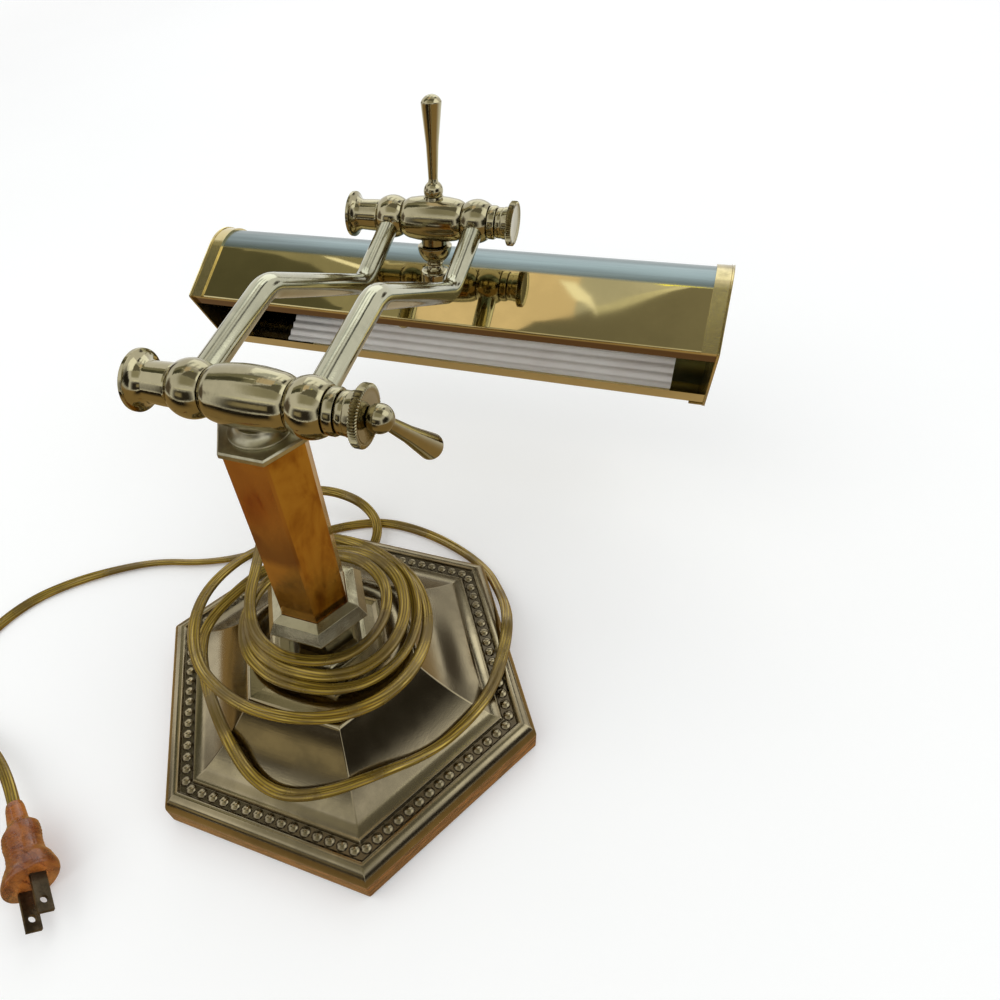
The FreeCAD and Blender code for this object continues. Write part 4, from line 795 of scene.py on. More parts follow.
class LAMP_OT_base(bpy.types.Operator):
    """Builds the hexagonal base with its bead band, and gives the inside pieces their finish"""

    bl_idname = "lamp.base"
    bl_label = "Base"

    def execute(self, context):
        sizes = context.scene.lamp_sizes
        make_piece("base_skin", [hexagonal(base_ring(), 0.9)], "base", "stand", "base_shell")
        make_piece("base_beads", bead_band(sizes.bead / MM, sizes.beads), "base", "stand", sharp=60)
        repaint("felt", "base_felt")
        repaint("iron", "base_weight")
        repaint("steel", "base_plate", "stem_rod", "stem_nut", "stem_washer")
        repaint("black", "cord_bushing")
        return {"FINISHED"}


class LAMP_OT_stand(bpy.types.Operator):
    """Builds the plinth, the flared collar, the hexagonal column, its cap and the saddle"""

    bl_idname = "lamp.stand"
    bl_label = "Stand"

    def execute(self, context):
        bell = arc(BELL_START, BELL_SIZE, 180, 90, 14)
        collar = np.concatenate([COLLAR_FOOT, bell, COLLAR_MOUTH])
        for name, ring, corner, look, node in [
            ("plinth_skin", softened(PLINTH, 0.3), 0.6, "base", "plinth"),
            ("collar_skin", softened(collar, 0.35), 0.5, "collar", "collar_cup"),
            ("column_skin", np.array(TUBE), 0.35, "column", "column"),
            ("cap_skin", softened(CAP, 0.25), 0.4, "satin", "column_cap"),
        ]:
            make_piece(name, [hexagonal(ring, corner)], look, "stand", node)
        saddle = softened(curve(SADDLE), 0.25, closed=True)
        make_piece("saddle_skin", [turned(saddle, SEAT, Z, closed=True)], "satin", "stand", "barrel_saddle")
        return {"FINISHED"}


# Knuckles

# Profiles are (distance along the knuckle from its middle, radius).
BARREL = curve(
    [
        (-14.9, 0), (-14.9, 7.8), (-11.175, 9.5, 8.2, -1), (11.175, 9.5, 62.9, -1),
        (14.9, 7.8, 8.2, -1), (14.9, 0),
    ],
    step=4.0,
)
LOBE = curve([(-6.1, 0), (-6.1, 7.861), (6.1, 7.861, 9.95, -1), (6.1, 0)], step=5.0)
FLANGE = curve(
    [
        (27.7, 0), (27.7, 6.9), (28.5, 7.35), (31.5, 7.35), (36.7, 7.1), (41.3, 10.6, 4.81, 1),
        (42.8, 10.6), (41.8, 7.2), (41.8, 0),
    ]
)
RING = curve([(27.7, 0), (27.7, 7.2), (28.4, 7.6), (30.4, 7.6), (31.1, 7.2), (31.1, 0)])
NUT_HUB = [(31.4, 0), (31.4, 6.5), (32.0, 6.9), (33.6, 6.95), (34.0, 6.7), (34.6, 7.2), (37.1, 7.4)]
NUT_RIM = [(37.1, 9.2), (37.5, 9.9), (39.7, 9.9), (40.1, 9.3)]
OPEN_FACE = [(40.1, 8.2), (39.9, 7.6), (40.1, 7.0), (40.1, 1.9)]
CLOSED_FACE = [(39.7, 8.2), (39.3, 7.4), (39.3, 0)]
KNURLS = 60
KNURL_DEPTH = 0.07
BOSS = curve([(0, 6.4), (11.6, 6.4), (12.1, 5.9), (12.1, 3.1)])
CROWN = curve([(8.0, 3.2), (8.0, 5.4), (10.6, 4.6), (10.78, 3.2)])
# The balls' radius, and for each its distance from the knuckle's middle and how far its flat side
# is before its own middle.
BALL = 4.6
LOWER_BALL = (43.6, 3.2)
UPPER_BALL = (13.0, 2.2)
HANDLE = curve([(3.2, 0), (3.2, 2.6), (5.4, 2.2), (20.0, 2.9), (37.5, 4.7), (40.5, 0.0, 5.18, -1)], step=6.0)


def thumb_nut(origin, face):
    """A hub with bands, then a disc and its face. The disc's rim has fine teeth: a triangle wave
    of four steps a tooth, KNURL_DEPTH of the radius deep."""
    profile = np.array(NUT_HUB + NUT_RIM + face)
    factor = np.ones((len(profile), 4 * KNURLS))
    factor[len(NUT_HUB):len(NUT_HUB + NUT_RIM)] -= KNURL_DEPTH * np.tile([1.0, 0.5, 0.0, 0.5], KNURLS)
    return turned(profile, origin, X, 4 * KNURLS, factor=factor)


def lever(origin, axis, reach, flat, way):
    """A ball at `reach` along the axis, with a flat side square to it, `flat` before the ball's
    middle, and a tapered handle that leaves it narrow, swells towards its tip and ends in a dome."""
    middle = origin + axis * reach
    rise = math.sqrt(BALL**2 - flat**2)
    ball = curve([(-flat, 0), (-flat, rise), (BALL, 0, BALL, -1)], step=5.0)
    return [turned(ball, middle, axis), turned(softened(HANDLE, 0.8, least=8), middle, way)]


class LAMP_OT_knuckles(bpy.types.Operator):
    """Builds both knuckles: barrels, lobes, flared caps, rings, thumb nuts and levers"""

    bl_idname = "lamp.knuckles"
    bl_label = "Knuckles"

    def execute(self, context):
        def piece(name, parts, body, **looks):
            make_piece(f"{name}_skin", parts, "knuckle", body, name, **looks)

        for level, origin, body, face in [
            ("lower", LOWER, "stand", OPEN_FACE),
            ("upper", UPPER, "head", CLOSED_FACE),
        ]:
            barrel = [turned(softened(BARREL, 0.3), origin, X, 96)]
            if level == "upper":
                barrel += [turned(BOSS, UPPER, -SWIVEL), turned(CROWN, UPPER, SWIVEL, closed=True)]
            piece(f"{level}_barrel", barrel, body)
            for side, sign in (("left", -1), ("right", 1)):
                lobe = turned(softened(LOBE, 0.3), origin + X * sign * LOBE_REACH, X, 96)
                piece(f"{level}_lobe_{side}", [lobe], "arms")
            piece(f"{level}_flange", [turned(softened(FLANGE, 0.25), origin, -X)], body)
            piece(f"{level}_ring", [turned(RING, origin, X)], body)
            piece(f"{level}_nut", [thumb_nut(origin, face)], f"{level}_thumb_nut", sharp=50)
        piece("lower_lever", lever(LOWER, X, *LOWER_BALL, LEVER_WAY), "lower_handle")
        piece("upper_lever", lever(UPPER, SWIVEL, *UPPER_BALL, SWIVEL), "upper_handle")
        repaint("steel", "lower_rod", "upper_stud_left", "upper_stud_right", "neck_spindle", "foot_screw")
        return {"FINISHED"}


# Arms and neck

ARM_RADIUS = 4.75
ARM_START = 3.0
ARM_BEND = 17.0
ARM_RISE = math.radians(6.3)
FIRST_LEG = 53.7
SECOND_LEG = 87.4
THIRD_LEG = 42.5
FIRST_TURN = math.radians(36.2)
SECOND_TURN = math.radians(45.2)

# The neck's profile goes down from the upper knuckle's middle, as (distance, radius).
NECK = curve(
    [
        (12.4, 0), (12.4, 7.6), (12.8, 8.4), (13.6, 8.4), (20.6, 3.8, 9.0, -1), (21.2, 4.3),
        (21.8, 3.8), (25.2, 7.0, 3.4, 1), (25.2, 0),
    ]
)
# The foot's upper rings, as (radius, distance), its radius and how far down its middle lands.
FOOT_ROWS = [(0.0, 25.2), (6.9, 25.2), (7.4, 26.2)]
FOOT_RADIUS = 7.4
FOOT_LANDING = 29.8


def arm_line():
    """The arm's centre line in its upright plane, as (y, z): three straight legs, joined by arcs
    that leave each corner out by the bend's radius times the tangent of half its turn."""
    cut_one = ARM_BEND * math.tan(FIRST_TURN / 2)
    cut_two = ARM_BEND * math.tan(SECOND_TURN / 2)
    way_two = np.array([math.cos(-FIRST_TURN), math.sin(-FIRST_TURN)])
    way_three = np.array([math.cos(SECOND_TURN - FIRST_TURN), math.sin(SECOND_TURN - FIRST_TURN)])
    corner_one = np.array([FIRST_LEG, 0.0])
    corner_two = corner_one + SECOND_LEG * way_two
    line = curve(
        [
            (ARM_START, 0.0),
            (FIRST_LEG - cut_one, 0.0),
            (*(corner_one + cut_one * way_two), ARM_BEND, -1),
            corner_two - cut_two * way_two,
            (*(corner_two + cut_two * way_three), ARM_BEND, 1),
            corner_two + THIRD_LEG * way_three,
        ],
        step=3.0,
    )
    cosine, sine = math.cos(ARM_RISE), math.sin(ARM_RISE)
    return line @ np.array([[cosine, sine], [-sine, cosine]])


class LAMP_OT_arms(bpy.types.Operator):
    """Builds the two bent tubes between the knuckles"""

    bl_idname = "lamp.arms"
    bl_label = "Arms"

    def execute(self, context):
        y, z = arm_line().T
        angle = turns(40)
        section = ARM_RADIUS * np.stack([np.cos(angle), np.sin(angle)], axis=1)
        for side, sign in (("left", -1), ("right", 1)):
            path = np.stack([np.full(len(y), sign * LOBE_REACH), y, z + LOWER[2]], axis=1)
            tube = carried(section, path, X)
            make_piece(f"arm_{side}_skin", [tube], "brass", "arms", f"arm_{side}", weighted=False)
        return {"FINISHED"}


class LAMP_OT_neck(bpy.types.Operator):
    """Builds the turned neck under the upper knuckle and its slanting foot on the shade"""

    bl_idname = "lamp.neck"
    bl_label = "Neck"

    def execute(self, context):
        down = -SWIVEL
        bowl = turned(softened(NECK, 0.15), UPPER, down)
        make_piece("neck_skin", [bowl], "knuckle", "shade", "neck")
        make_piece("neck_foot_skin", [self.foot(down)], "knuckle", "shade", "neck_foot")
        return {"FINISHED"}

    def foot(self, down, steps=72):
        """Rings about the swivel's line. The last two end where the shade's panel cuts them."""
        circle = circle_about(down, steps)
        rows = [UPPER + down * along + radius * circle for radius, along in FOOT_ROWS]
        for radius in (FOOT_RADIUS, 0.0):
            reach = FOOT_LANDING - radius * (circle @ PANEL_IN) / (down @ PANEL_IN)
            rows.append(UPPER + reach[:, None] * down + radius * circle)
        return np.concatenate(rows), grid_faces(len(rows), steps, False, True)


# Shade

# The width of the two flats, the radius of the back, the depths at which the turned-in lips end
# and the sheet's thickness.
PANEL = 33.0
SHADE_RADIUS = 24.0
LIP_TOP = 7.0
LIP_BOTTOM = 39.0
SHEET = 1.0
# An end cap: its plate's thickness, how far its band's middle is outside the shade, half the
# band's thickness and how far from the shade's end the band starts and stops.
PLATE = 1.2
BAND_OUT = 0.53
HALF_BAND = 0.5
BAND_RUN = (0.4, 7.7)
# The lining: its distance from the shade's outside, where it starts on the two flats, where it
# starts along the shade and how long it is there, its sheet's thickness, the spacing of its
# points and the width of a flute.
LINING_INSET = 5.0
LINING_STARTS = (12.0, 1.3)
LINING_LEFT = 43.5
LINING_LENGTH = 216.0
LINING_SHEET = 0.8
LINING_STEP = 0.45
FLUTE_PITCH = 4.9
# The lamp holder: where its case starts and where its axis is, and the screw sleeve inside it
# with its thread. Then the switch: its place along the shade and across it.
SOCKET_START = 2.7
SOCKET_REACH = 26.0
SLEEVE_START = 35.2
SLEEVE_LENGTH = 29.5
SLEEVE_RADIUS = 11.5
SLEEVE_SHEET = 0.5
THREAD_PITCH = 3.6
THREAD_DEPTH = 0.35
SWITCH_X = -15.0
SWITCH_PLACE = (6.5, 8.8)
# The lamp holder's case, as (distance from its end, radius), and the switch's knob likewise.
SOCKET_CASE = [
    (0, 4.9), (0, 11.5), (1.5, 13.2), (20.0, 13.2), (20.5, 13.9), (24.0, 13.9), (24.5, 13.2),
    (27.0, 13.2), (27.5, 13.9), (31.0, 13.9), (31.5, 13.4), (63.0, 13.4), (66.0, 14.0),
    (66.0, 12.0), (6.0, 12.0), (6.0, 4.9),
]
KNOB = [(0, 0), (0, 3.4), (0.5, 3.95), (4.0, 3.95), (6.0, 2.0, 2.0, -1), (6.0, 0)]


def trough_line(inset, start, lower_start):
    """(reach, depth) round the shade: along the top panel, round the back and forward below."""
    radius = SHADE_RADIUS - inset
    bottom = 2 * SHADE_RADIUS - inset
    points = [(start, inset), (PANEL, inset), (PANEL + radius, SHADE_RADIUS, radius, 1)]
    return curve(points + [(PANEL, bottom, radius, 1), (lower_start, bottom)], step=3.5)


class LAMP_OT_shade(bpy.types.Operator):
    """Builds the bent sheet of the shade with its turned-in lips, and the two end caps"""

    bl_idname = "lamp.shade"
    bl_label = "Shade"

    def execute(self, context):
        lips = [[(0.0, LIP_TOP)], trough_line(0.0, 0.0, 0.0), [(0.0, LIP_BOTTOM)]]
        outer = softened(np.concatenate(lips), 1.1)
        x = np.linspace(PLATE - HALF_SHADE, HALF_SHADE - PLATE, 24)
        sheet = channel(outer, offset(outer, -SHEET), x)
        make_piece("shade_skin", [sheet], "shade", "shade", "shade_shell")
        middle = trough_line(*[-BAND_OUT] * 3)
        band = offset(middle, HALF_BAND), offset(middle, -HALF_BAND)
        outline = softened(trough_line(*[-BAND_OUT - HALF_BAND] * 3), 1.0, closed=True)
        for side, sign in (("left", -1), ("right", 1)):
            end = sign * HALF_SHADE
            plate = slab(outline, *sorted([end, end - sign * PLATE]))
            wrap = channel(*band, end - sign * np.linspace(*BAND_RUN, 3))
            make_piece(f"shade_cap_{side}_skin", [plate, wrap], "cap", "shade", f"shade_cap_{side}")
        return {"FINISHED"}


class LAMP_OT_lining(bpy.types.Operator):
    """Builds the white lining of the shade, whose flutes are a wave on its inner face"""

    bl_idname = "lamp.lining"
    bl_label = "Lining"

    def execute(self, context):
        depth = context.scene.lamp_sizes.flute / MM
        line = trough_line(LINING_INSET, *LINING_STARTS)
        along = lengths(line)
        places = np.arange(0.0, along[-1], LINING_STEP)
        smooth = np.stack([np.interp(places, along, line[:, axis]) for axis in (0, 1)], axis=1)
        wave = 0.5 - 0.5 * np.cos(2 * math.pi * (along[-1] - places) / FLUTE_PITCH)
        inside = offset(smooth, -LINING_SHEET)
        inside = inside + unit(inside - smooth) * (wave**0.6 * depth)[:, None]
        x = LINING_LEFT - HALF_SHADE + np.linspace(0.0, LINING_LENGTH, 10)
        make_piece("lining", [channel(smooth, inside, x)], "enamel", "shade", "reflector", sharp=70)
        return {"FINISHED"}


class LAMP_OT_socket(bpy.types.Operator):
    """Builds the lamp holder in the shade's left end and the switch's knob, and gives the holder's bracket
    and the switch's body their finish
    """

    bl_idname = "lamp.socket"
    bl_label = "Socket and switch"

    def execute(self, context):
        start = SOCKET_START - HALF_SHADE
        origin = shade_points([start], np.array([[SOCKET_REACH, SHADE_RADIUS]]))[0, 0]
        case = softened(curve(SOCKET_CASE), 0.4, closed=True)
        make_piece("socket_skin", [turned(case, origin, X, closed=True)], "black", "shade", "socket")
        places = np.linspace(0, SLEEVE_LENGTH, 90)
        thread = SLEEVE_RADIUS + THREAD_DEPTH * np.sin(2 * math.pi * places / THREAD_PITCH)
        outer = np.stack([places + SLEEVE_START, thread], axis=1)
        ring = np.concatenate([outer, (outer - [0.0, SLEEVE_SHEET])[::-1]])
        sleeve = [turned(ring, origin, X, closed=True)]
        make_piece(
            "socket_sleeve_skin", sleeve, "brass", "shade", "socket_sleeve", slot="inner_steel", sharp=60
        )
        repaint("steel", "socket_bracket")
        repaint("black", "switch_body")
        top = shade_points([SWITCH_X], np.array([SWITCH_PLACE]))[0, 0]
        knob = turned(softened(curve(KNOB), 0.2), top, PANEL_IN, 48)
        make_piece("switch_knob_skin", [knob], "brass", "knob", "switch_knob")
        return {"FINISHED"}


# Cord and plug

# The cord's route: from the bushing, round the stand as (distance from the column, height) at
# each quarter turn, and then along the table to the plug.
CORD_EXIT = (-18.0, 84.45, 6.5)
CORD_LEAD = [
    (-18.3, 98, 6.5), (-32, 110, 11), (-49, 108, 20), (-61, 94, 32), (-62.5, 75, 44),
    (-57, 56, 54), (-49.5, 37, 60), (-42.8, 18.8, 61),
]
CORD_LOOPS = [
    (36.0, 60.0), (18.5, 57.5), (22.5, 57.0), (38.0, 57.0), (37.5, 55.0), (21.8, 52.6),
    (31.0, 54.0), (44.0, 54.5), (41.0, 50.3), (26.9, 50.9), (37.0, 51.6), (49.5, 51.9),
    (65.0, 52.0), (40.0, 47.7), (42.5, 47.9), (53.0, 45.0), (67.0, 31.0),
]
CORD_TAIL = [
    (-63, -17, 30), (-51, -31, 29.8), (-37.5, -43.5, 32.8), (-25, -53.5, 32.0), (-13, -61, 24.2),
    (3, -63.5, 22.4), (22, -58.5, 28.6), (41, -45, 32.0), (57, -26.5, 24), (68, -7, 24.8),
    (72.5, 12, 22.6), (72, 31, 21.8), (70, 45, 21.3), (66, 58, 16.5), (58, 73, 8.8),
    (47.5, 88, 3.2), (30, 98.5, 2.3), (6, 106, 2.3), (-20, 107.5, 2.3), (-44, 97, 2.3),
    (-68, 78, 2.3), (-90, 60, 2.3), (-113, 49, 2.3), (-138, 43, 2.3), (-160, 31, 2.3),
    (-182, 14, 2.3), (-198, -5, 2.3), (-206, -30, 2.3), (-204, -55, 2.3), (-190, -73, 2.6),
    (-168, -80, 6),
]
PLUG_FACE = np.array([-85.0, -126.0, 12.7])
PLUG_YAW = math.radians(-37.7)
PLUG_ROLL = math.radians(45.0)
PLUG_WAY = np.array([math.cos(PLUG_YAW), math.sin(PLUG_YAW), 0.0])
PLUG_LENGTH = 38.0
PLUG_REAR = PLUG_FACE - PLUG_WAY * PLUG_LENGTH
# The plug's form, as (distance from its rear, wide half width, narrow half width).
PLUG_FORM = np.array(
    [
        (0.0, 3.6, 3.4), (2.0, 4.2, 3.9), (9.5, 5.0, 4.4), (12.0, 7.6, 5.6), (14.4, 10.0, 7.4),
        (18.0, 10.4, 7.6), (22.0, 9.7, 7.2), (27.4, 10.2, 7.5), (31.0, 12.6, 9.4),
        (35.5, 14.0, 11.0), (37.2, 13.9, 10.9), (38.0, 13.2, 10.2),
    ]
)
# The grip's ribs: where they start and end along the plug and how soon they fade there, their
# pitch, how much they lean and half their depth.
GRIP_START = 14.0
GRIP_END = 34.0
GRIP_FADE = 3
RIB_PITCH = 1.5
RIB_LEAN = 2.5
RIB_HALF_DEPTH = 0.3
# The cord's last straight run, into the plug.
LAST_RUN = 24.0
POINTS_PER_QUARTER = 3
# The flat cord rolls to and fro by this angle, over about six of these lengths, and by half of it
# over a longer run.
TWIST = 0.45
TWIST_LENGTH = 34.0
LONGER_TWIST = TWIST_LENGTH / 0.37
# The curve runs this much inside its control points where they stand 30 degrees apart.
LOOP_DRAW_IN = math.cos(math.pi / 12)


def loop_points():
    """The loops' control points. Distance and height pass through the table's values on smooth
    cubics, each set by two values and the slopes to their neighbours."""
    table = np.array(CORD_LOOPS)
    table = np.concatenate([[2 * table[0] - table[1]], table, [2 * table[-1] - table[-2]]])
    places = np.arange((len(CORD_LOOPS) - 1) * POINTS_PER_QUARTER + 1) / POINTS_PER_QUARTER
    low = np.minimum(places.astype(int), len(CORD_LOOPS) - 2)
    share = (places - low)[:, None]
    before, start, end, after = (table[low + shift] for shift in range(4))
    values = (
        (2 * share**3 - 3 * share**2 + 1) * start
        + (share**3 - 2 * share**2 + share) * (end - before) / 2
        + (3 * share**2 - 2 * share**3) * end
        + (share**3 - share**2) * (after - start) / 2
    )
    angle = math.pi + places * math.pi / 2
    reach = values[:, 0] / LOOP_DRAW_IN
    return np.stack([reach * np.cos(angle), reach * np.sin(angle), values[:, 1]], axis=1)


def cord_line(points):
    """The cord's centre line, a smooth spline with the route's points as its control points."""
    line = bpy.data.curves.new("cord_line", "CURVE")
    line.dimensions = "3D"
    spline = line.splines.new("NURBS")
    spline.points.add(len(points) - 1)
    weights = np.ones((len(points), 1))
    spline.points.foreach_set("co", np.concatenate([points * MM, weights], axis=1).ravel())
    spline.order_u = 3
    spline.use_endpoint_u = True
    spline.resolution_u = 10
    holder = linked("cord_line", line)
    mesh = bpy.data.meshes.new_from_object(holder)
    path = np.empty(len(mesh.vertices) * 3)
    mesh.vertices.foreach_get("co", path)
    bpy.data.objects.remove(holder)
    bpy.data.meshes.remove(mesh)
    return path.reshape(-1, 3) / MM


def twin_section(width, thickness):
    """Two round leads side by side: each is most of a circle, with a groove between them."""
    radius = thickness / 2
    around = np.radians(np.linspace(-132, 132, 10))
    right = np.stack([width / 2 - radius + radius * np.cos(around), radius * np.sin(around)], axis=1)
    return np.concatenate([right, -right])


def unwrap(cord, along, columns):
    """A UV map on the cord: U is the turn round the section, V the length in centimetres. Both
    follow from a vertex's number, which the merged point of the first end puts forward by one."""
    mesh = cord.data
    number = np.arange(len(mesh.vertices))
    row = np.minimum(number // columns, len(along) - 1)
    uv = np.stack([number % columns / columns, along[row] / 10.0], axis=1)
    corners = np.empty(len(mesh.loops), dtype=np.int32)
    mesh.loops.foreach_get("vertex_index", corners)
    mesh.uv_layers.new(name="along").uv.foreach_set("vector", uv[corners].astype(np.float32).ravel())


def build_plug(steps=96):
    """The moulded plug: an oval whose half widths follow PLUG_FORM, each a running mean over five
    places, with slanting fine ribs on the grip's two flat sides."""
    along = np.linspace(0, PLUG_LENGTH, 130)
    halves = np.array([np.interp(along, PLUG_FORM[:, 0], PLUG_FORM[:, column]) for column in (1, 2)])
    for half in halves:
        half[2:-2] = np.convolve(half, np.array([1, 2, 3, 2, 1]) / 9, "valid")
    angle = turns(steps)
    ends = (along - GRIP_START, GRIP_END - along)
    grip = np.clip(ends[0] / GRIP_FADE, 0, 1) * np.clip(ends[1] / GRIP_FADE, 0, 1)
    flat_side = np.clip((np.abs(np.sin(angle)) - 0.55) / 0.12, 0, 1)
    slant = 2 * math.pi * (along[:, None] + RIB_LEAN * np.cos(angle)) / RIB_PITCH
    ribs = RIB_HALF_DEPTH * grip[:, None] * flat_side * (np.sin(slant) - 1)
    reach = (halves[0][:, None] + ribs) * np.cos(angle)
    rise = (halves[1][:, None] + ribs) * np.sin(angle)
    major = np.cross(PLUG_WAY, Z) * math.cos(PLUG_ROLL) - Z * math.sin(PLUG_ROLL)
    minor = np.cross(PLUG_WAY, major)
    body = PLUG_REAR + along[:, None, None] * PLUG_WAY + reach[..., None] * major + rise[..., None] * minor
    return make_piece("plug", [with_ends(body)], "plug", "stand", "cord_plug", sharp=60, weighted=False)


class LAMP_OT_cord(bpy.types.Operator):
    """Builds the flat twin cord round the stand and its moulded plug, and gives the plug's blades their
    finish
    """

    bl_idname = "lamp.cord"
    bl_label = "Cord and plug"

    def execute(self, context):
        sizes = context.scene.lamp_sizes
        ending = [PLUG_REAR - PLUG_WAY * LAST_RUN, PLUG_REAR]
        path = cord_line(np.concatenate([[CORD_EXIT], CORD_LEAD, loop_points(), CORD_TAIL, ending]))
        section = twin_section(sizes.cord_width / MM, sizes.cord_thickness / MM)
        along = lengths(path)
        roll = TWIST * np.sin(along / TWIST_LENGTH) + TWIST / 2 * np.sin(along / LONGER_TWIST)
        tube = carried(section, path, Z, roll)
        nodes = ["cord_lead", "cord_coil", "cord_tail"]
        cord = make_piece("cord", [tube], "cord", "stand", *nodes, sharp=80, weighted=False)
        unwrap(cord, along, len(section))
        plug = build_plug()
        repaint("blade", "plug_blades")
        return {"FINISHED"}


# Stage


def rectangle(left, right, low, high):
    """Its four corners, in a card's plane."""
    return [(left, low), (right, low), (right, high), (left, high)]


# The share of a soft card's width and height over which it fades out at each edge.
CARD_FADE = 0.3
# The soft cards, in metres: name, the plane's two axes and its place on the third, the corners
# and the colour.
SOFT_CARDS = [
    ("right", "YZ", 1.5, rectangle(-1.9, 0.55, -0.2, 1.35), (0.03, 0.027, 0.022)),
    ("front", "XZ", -1.5, rectangle(-1.9, 1.3, -0.3, 1.25), (0.05, 0.043, 0.035)),
    ("front_glow", "XZ", -1.45, rectangle(-1.2, -0.1, 0.25, 0.8), (0.46, 0.40, 0.26)),
    ("front_band", "XZ", -1.45, rectangle(-1.9, 1.3, 1.05, 1.3), (1.2, 1.2, 1.05)),
    ("left", "YZ", -1.7, rectangle(-1.4, 0.1, -0.2, 1.2), (0.16, 0.13, 0.10)),
    ("far_left", "YZ", -1.9, rectangle(0.1, 1.7, -0.2, 0.8), (0.09, 0.065, 0.04)),
    ("back", "XZ", 1.9, rectangle(0.8, 1.5, -0.2, 0.6), (0.08, 0.07, 0.06)),
    ("streak_left", "XY", 1.5, [(-0.95, 0.6), (-0.45, 0.62), (-0.45, 2.2), (-0.95, 2.2)],
     (0.07, 0.06, 0.045)),
    ("streak_middle", "XY", 1.55, rectangle(-0.18, 0.02, 0.65, 2.2), (0.30, 0.28, 0.22)),
    ("streak_right", "XY", 1.5, rectangle(0.28, 0.75, 0.6, 2.2), (0.05, 0.045, 0.035)),
    ("table", "XY", 0.0005, rectangle(-1.6, 1.5, -1.3, 0.6), (0.38, 0.26, 0.11)),
    ("dark_table", "XY", 0.001, rectangle(-1.0, 0.2, -1.1, -0.2), (0.02, 0.016, 0.012)),
    ("above", "XY", 1.7, rectangle(-1.3, 1.6, -1.6, 0.1), (0.50, 0.48, 0.37)),
]
# Sharp cards overhead, that the flat panel of the shade mirrors: name, height, colour and corners.
SHARP_CARDS = [
    ("dark_ceiling", 1.6, (0.23, 0.22, 0.17),
     [(-0.62, -0.2), (-0.22, 0.29), (-0.08, 0.35), (0.16, 0.42), (0.7, 0.58), (0.9, -0.3)]),
    ("grey_ceiling", 1.6, (0.12, 0.12, 0.08),
     [(-2.2, 0.0), (-0.76, 0.0), (-0.74, 0.31), (-0.84, 0.37), (-1.14, 0.435), (-2.2, 0.45)]),
    ("olive_ceiling", 1.61, (0.36, 0.35, 0.25), [(-2.2, 0.0), (-0.50, 0.0), (-0.55, 0.9), (-2.2, 0.9)]),
    ("glint_left", 1.59, (1.5, 1.5, 1.35),
     [(-0.80, 0.425), (-0.76, 0.445), (-0.58, 0.395), (-0.50, 0.32), (-0.60, 0.37)]),
    ("glint_middle", 1.59, (1.5, 1.5, 1.35),
     [(-0.18, 0.44), (-0.14, 0.44), (-0.09, 0.39), (-0.06, 0.34), (-0.12, 0.375)]),
    ("glint_right", 1.59, (0.85, 0.85, 0.68), [(-0.07, 0.34), (-0.07, 0.355), (0.20, 0.437), (0.20, 0.42)]),
    ("yellow", 1.585, (2.4, 2.3, 0.02),
     [(0.05, 0.428), (0.075, 0.442), (0.14, 0.442), (0.17, 0.428), (0.14, 0.414), (0.075, 0.414)]),
    ("pale_ceiling", 1.63, (0.66, 0.67, 0.62), [(-0.17, 0.2), (0.9, 0.2), (0.9, 0.8), (-0.23, 0.8)]),
    ("warm_ceiling", 1.605, (1.0, 0.84, 0.62), [(-0.52, 0.2), (-0.10, 0.2), (-0.17, 0.75), (-0.60, 0.75)]),
]
# The soft lights, in metres: name, place, width, power, colour and whether metal mirrors it. The
# left one isn't mirrored, so that the metal that faces it shows the cards alone.
LIGHTS = [
    ("soft_left", (-0.8, -0.7, 1.3), 1.6, 7.8, (0.97, 1.0, 0.96), False),
    ("soft_right", (1.05, 0.35, 1.15), 1.1, 3.0, (0.95, 1.0, 0.98), True),
    ("soft_back", (-0.2, 1.25, 0.95), 1.1, 3.0, (0.90, 0.97, 1.0), True),
]
LIT_PLACE = (0.0, 0.08, 0.1)
# The photograph's view: the camera's place in metres, its own three directions and its lens.
CAMERA_PLACE = (0.12052, -0.14701, 0.31923)
CAMERA_RIGHT = (0.92739, 0.35618, -0.11439)
CAMERA_UP = (-0.1861, 0.70451, 0.68486)
CAMERA_BACK = (0.32452, -0.61384, 0.71964)
CAMERA_LENS = {
    "sensor_width": 36.0,
    "lens": 26.243,
    "shift_x": 0.10885,
    "shift_y": 0.0018,
    "clip_start": 0.01,
}


def stand_at(holder, place, right, up, back):
    """Puts a light or the camera at a place, with its own axes along three directions."""
    turn = Matrix([right, up, back]).transposed().to_4x4()
    turn.translation = place
    holder.matrix_world = turn


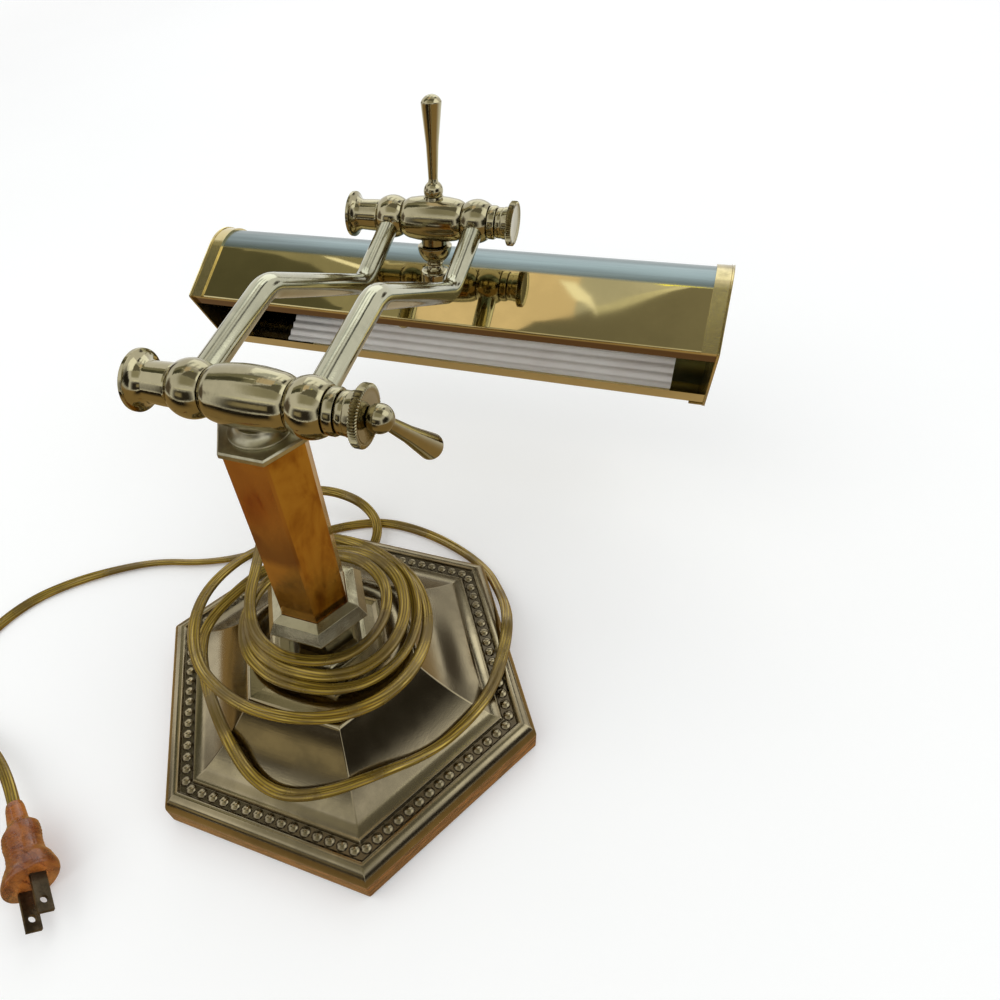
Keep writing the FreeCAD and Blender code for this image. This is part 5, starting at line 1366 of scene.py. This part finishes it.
class LAMP_OT_stage(bpy.types.Operator):
    """Sets up the floor, the soft lights, the surroundings and the camera"""

    bl_idname = "lamp.stage"
    bl_label = "Stage"

    def execute(self, context):
        scene = context.scene
        self.lay_floor(scene.lamp_sizes.floor)
        for light in LIGHTS:
            self.hang_light(*light)
        for card in SOFT_CARDS:
            self.hang_card(*card, soft=True)
        for name, height, colour, corners in SHARP_CARDS:
            self.hang_card(name, "XY", height, corners, colour)
        scene.world = self.surroundings()
        camera = bpy.data.cameras.new("photo_view")
        for name, value in CAMERA_LENS.items():
            setattr(camera, name, value)
        scene.camera = linked("photo_view", camera)
        stand_at(scene.camera, CAMERA_PLACE, CAMERA_RIGHT, CAMERA_UP, CAMERA_BACK)
        scene.view_settings.view_transform = "Standard"
        return {"FINISHED"}

    def lay_floor(self, half):
        """A pale floor that glows a little where it is looked at, and more far away, so that its
        edge melts into the white room."""
        mesh = bpy.data.meshes.new("floor")
        corners = [(*corner, 0) for corner in rectangle(-half, half, -half, half)]
        mesh.from_pydata(corners, [], [(0, 1, 2, 3)])
        made = Finish("pale_floor")
        distance = made.add("VectorMath", {0: made.position}, operation="LENGTH")["Value"]
        made.show(
            Base_Color=made.mix(made.noise(6.0, 3.0), (0.90, 0.90, 0.90), (0.93, 0.93, 0.93)),
            Roughness=0.9,
            Specular_IOR_Level=0.1,
            Emission_Color=(1.0, 1.0, 1.0, 1.0),
            Emission_Strength=made.times(made.looked_at(), made.spread(distance, 0.7, 3.0, 0.14, 0.42)),
        )
        mesh.materials.append(made.material)
        linked("floor", mesh)

    def hang_card(self, name, axes, level, corners, colour, soft=False):
        """A plain card that the camera doesn't see and only polished surfaces mirror."""
        name = f"card_{name}"
        places = np.full((len(corners), 3), level)
        places[:, ["XYZ".index(axis) for axis in axes]] = corners
        mesh = bpy.data.meshes.new(name)
        mesh.from_pydata(places.tolist(), [], [tuple(range(len(corners)))])
        made = Finish(name)
        made.show(
            Base_Color=(0.0, 0.0, 0.0, 1.0),
            Specular_IOR_Level=0.0,
            Roughness=1.0,
            Emission_Color=opaque(colour),
            Emission_Strength=1.0,
        )
        if soft:
            share = made.split(made.places["Generated"])
            fading = [made.within(share[axis], 0.0, CARD_FADE, 1 - CARD_FADE, 1.0) for axis in axes]
            made.show(Alpha=made.times(*fading))
        mesh.materials.append(made.material)
        card = linked(name, mesh)
        for ray in ("camera", "diffuse", "transmission", "volume_scatter", "shadow"):
            setattr(card, f"visible_{ray}", False)

    def hang_light(self, name, place, size, power, colour, mirrored):
        """A square soft light that looks at the lamp."""
        light = bpy.data.lights.new(name, "AREA")
        light.size = size
        light.energy = power
        light.color = colour
        holder = linked(name, light)
        holder.visible_glossy = mirrored
        away = unit(np.array(place) - LIT_PLACE)
        side = unit(np.cross(Z, away))
        stand_at(holder, place, side, np.cross(away, side), away)

    def surroundings(self):
        """Even light on matt surfaces, and white wherever the room is looked at or mirrored."""
        world = bpy.data.worlds.new("room")
        world.use_nodes = True
        graph = Graph(world.node_tree)
        graph.tree.nodes.clear()
        colour = graph.mix(graph.looked_at(), (0.66, 0.66, 0.66), (1.0, 1.0, 1.0))
        background = graph.add("Background", {"Color": colour, "Strength": 1.0})
        graph.add("OutputWorld", {"Surface": background["Background"]})
        return world


# Panel and start

BUILDERS = [
    LAMP_OT_stage,
    LAMP_OT_cord,
    LAMP_OT_base,
    LAMP_OT_stand,
    LAMP_OT_knuckles,
    LAMP_OT_arms,
    LAMP_OT_neck,
    LAMP_OT_shade,
    LAMP_OT_lining,
    LAMP_OT_socket,
]


class LAMP_PT_panel(bpy.types.Panel):
    """Lists the lamp's builders and settings"""

    bl_idname = "LAMP_PT_panel"
    bl_label = "Desk lamp"
    bl_space_type = "VIEW_3D"
    bl_region_type = "UI"
    bl_category = "Desk lamp"

    def draw(self, context):
        for group in (context.scene.lamp_colours, context.scene.lamp_sizes):
            for name in group.bl_rna.properties.keys():
                if name not in ("rna_type", "name"):
                    self.layout.prop(group, name)
        for builder in BUILDERS:
            self.layout.operator(builder.bl_idname)


CLASSES = [LampColours, LampSizes, *BUILDERS, LAMP_PT_panel]


def register():
    for entry in CLASSES:
        bpy.utils.register_class(entry)
    bpy.types.Scene.lamp_colours = bpy.props.PointerProperty(type=LampColours)
    bpy.types.Scene.lamp_sizes = bpy.props.PointerProperty(type=LampSizes)


def unregister():
    del bpy.types.Scene.lamp_sizes
    del bpy.types.Scene.lamp_colours
    for entry in reversed(CLASSES):
        bpy.utils.unregister_class(entry)


def main():
    register()
    for builder in BUILDERS:
        group, action = builder.bl_idname.split(".")
        result = getattr(getattr(bpy.ops, group), action)()
        if result != {"FINISHED"}:
            raise RuntimeError(f"{builder.bl_idname} did not finish")


if __name__ == "__main__":
    main()
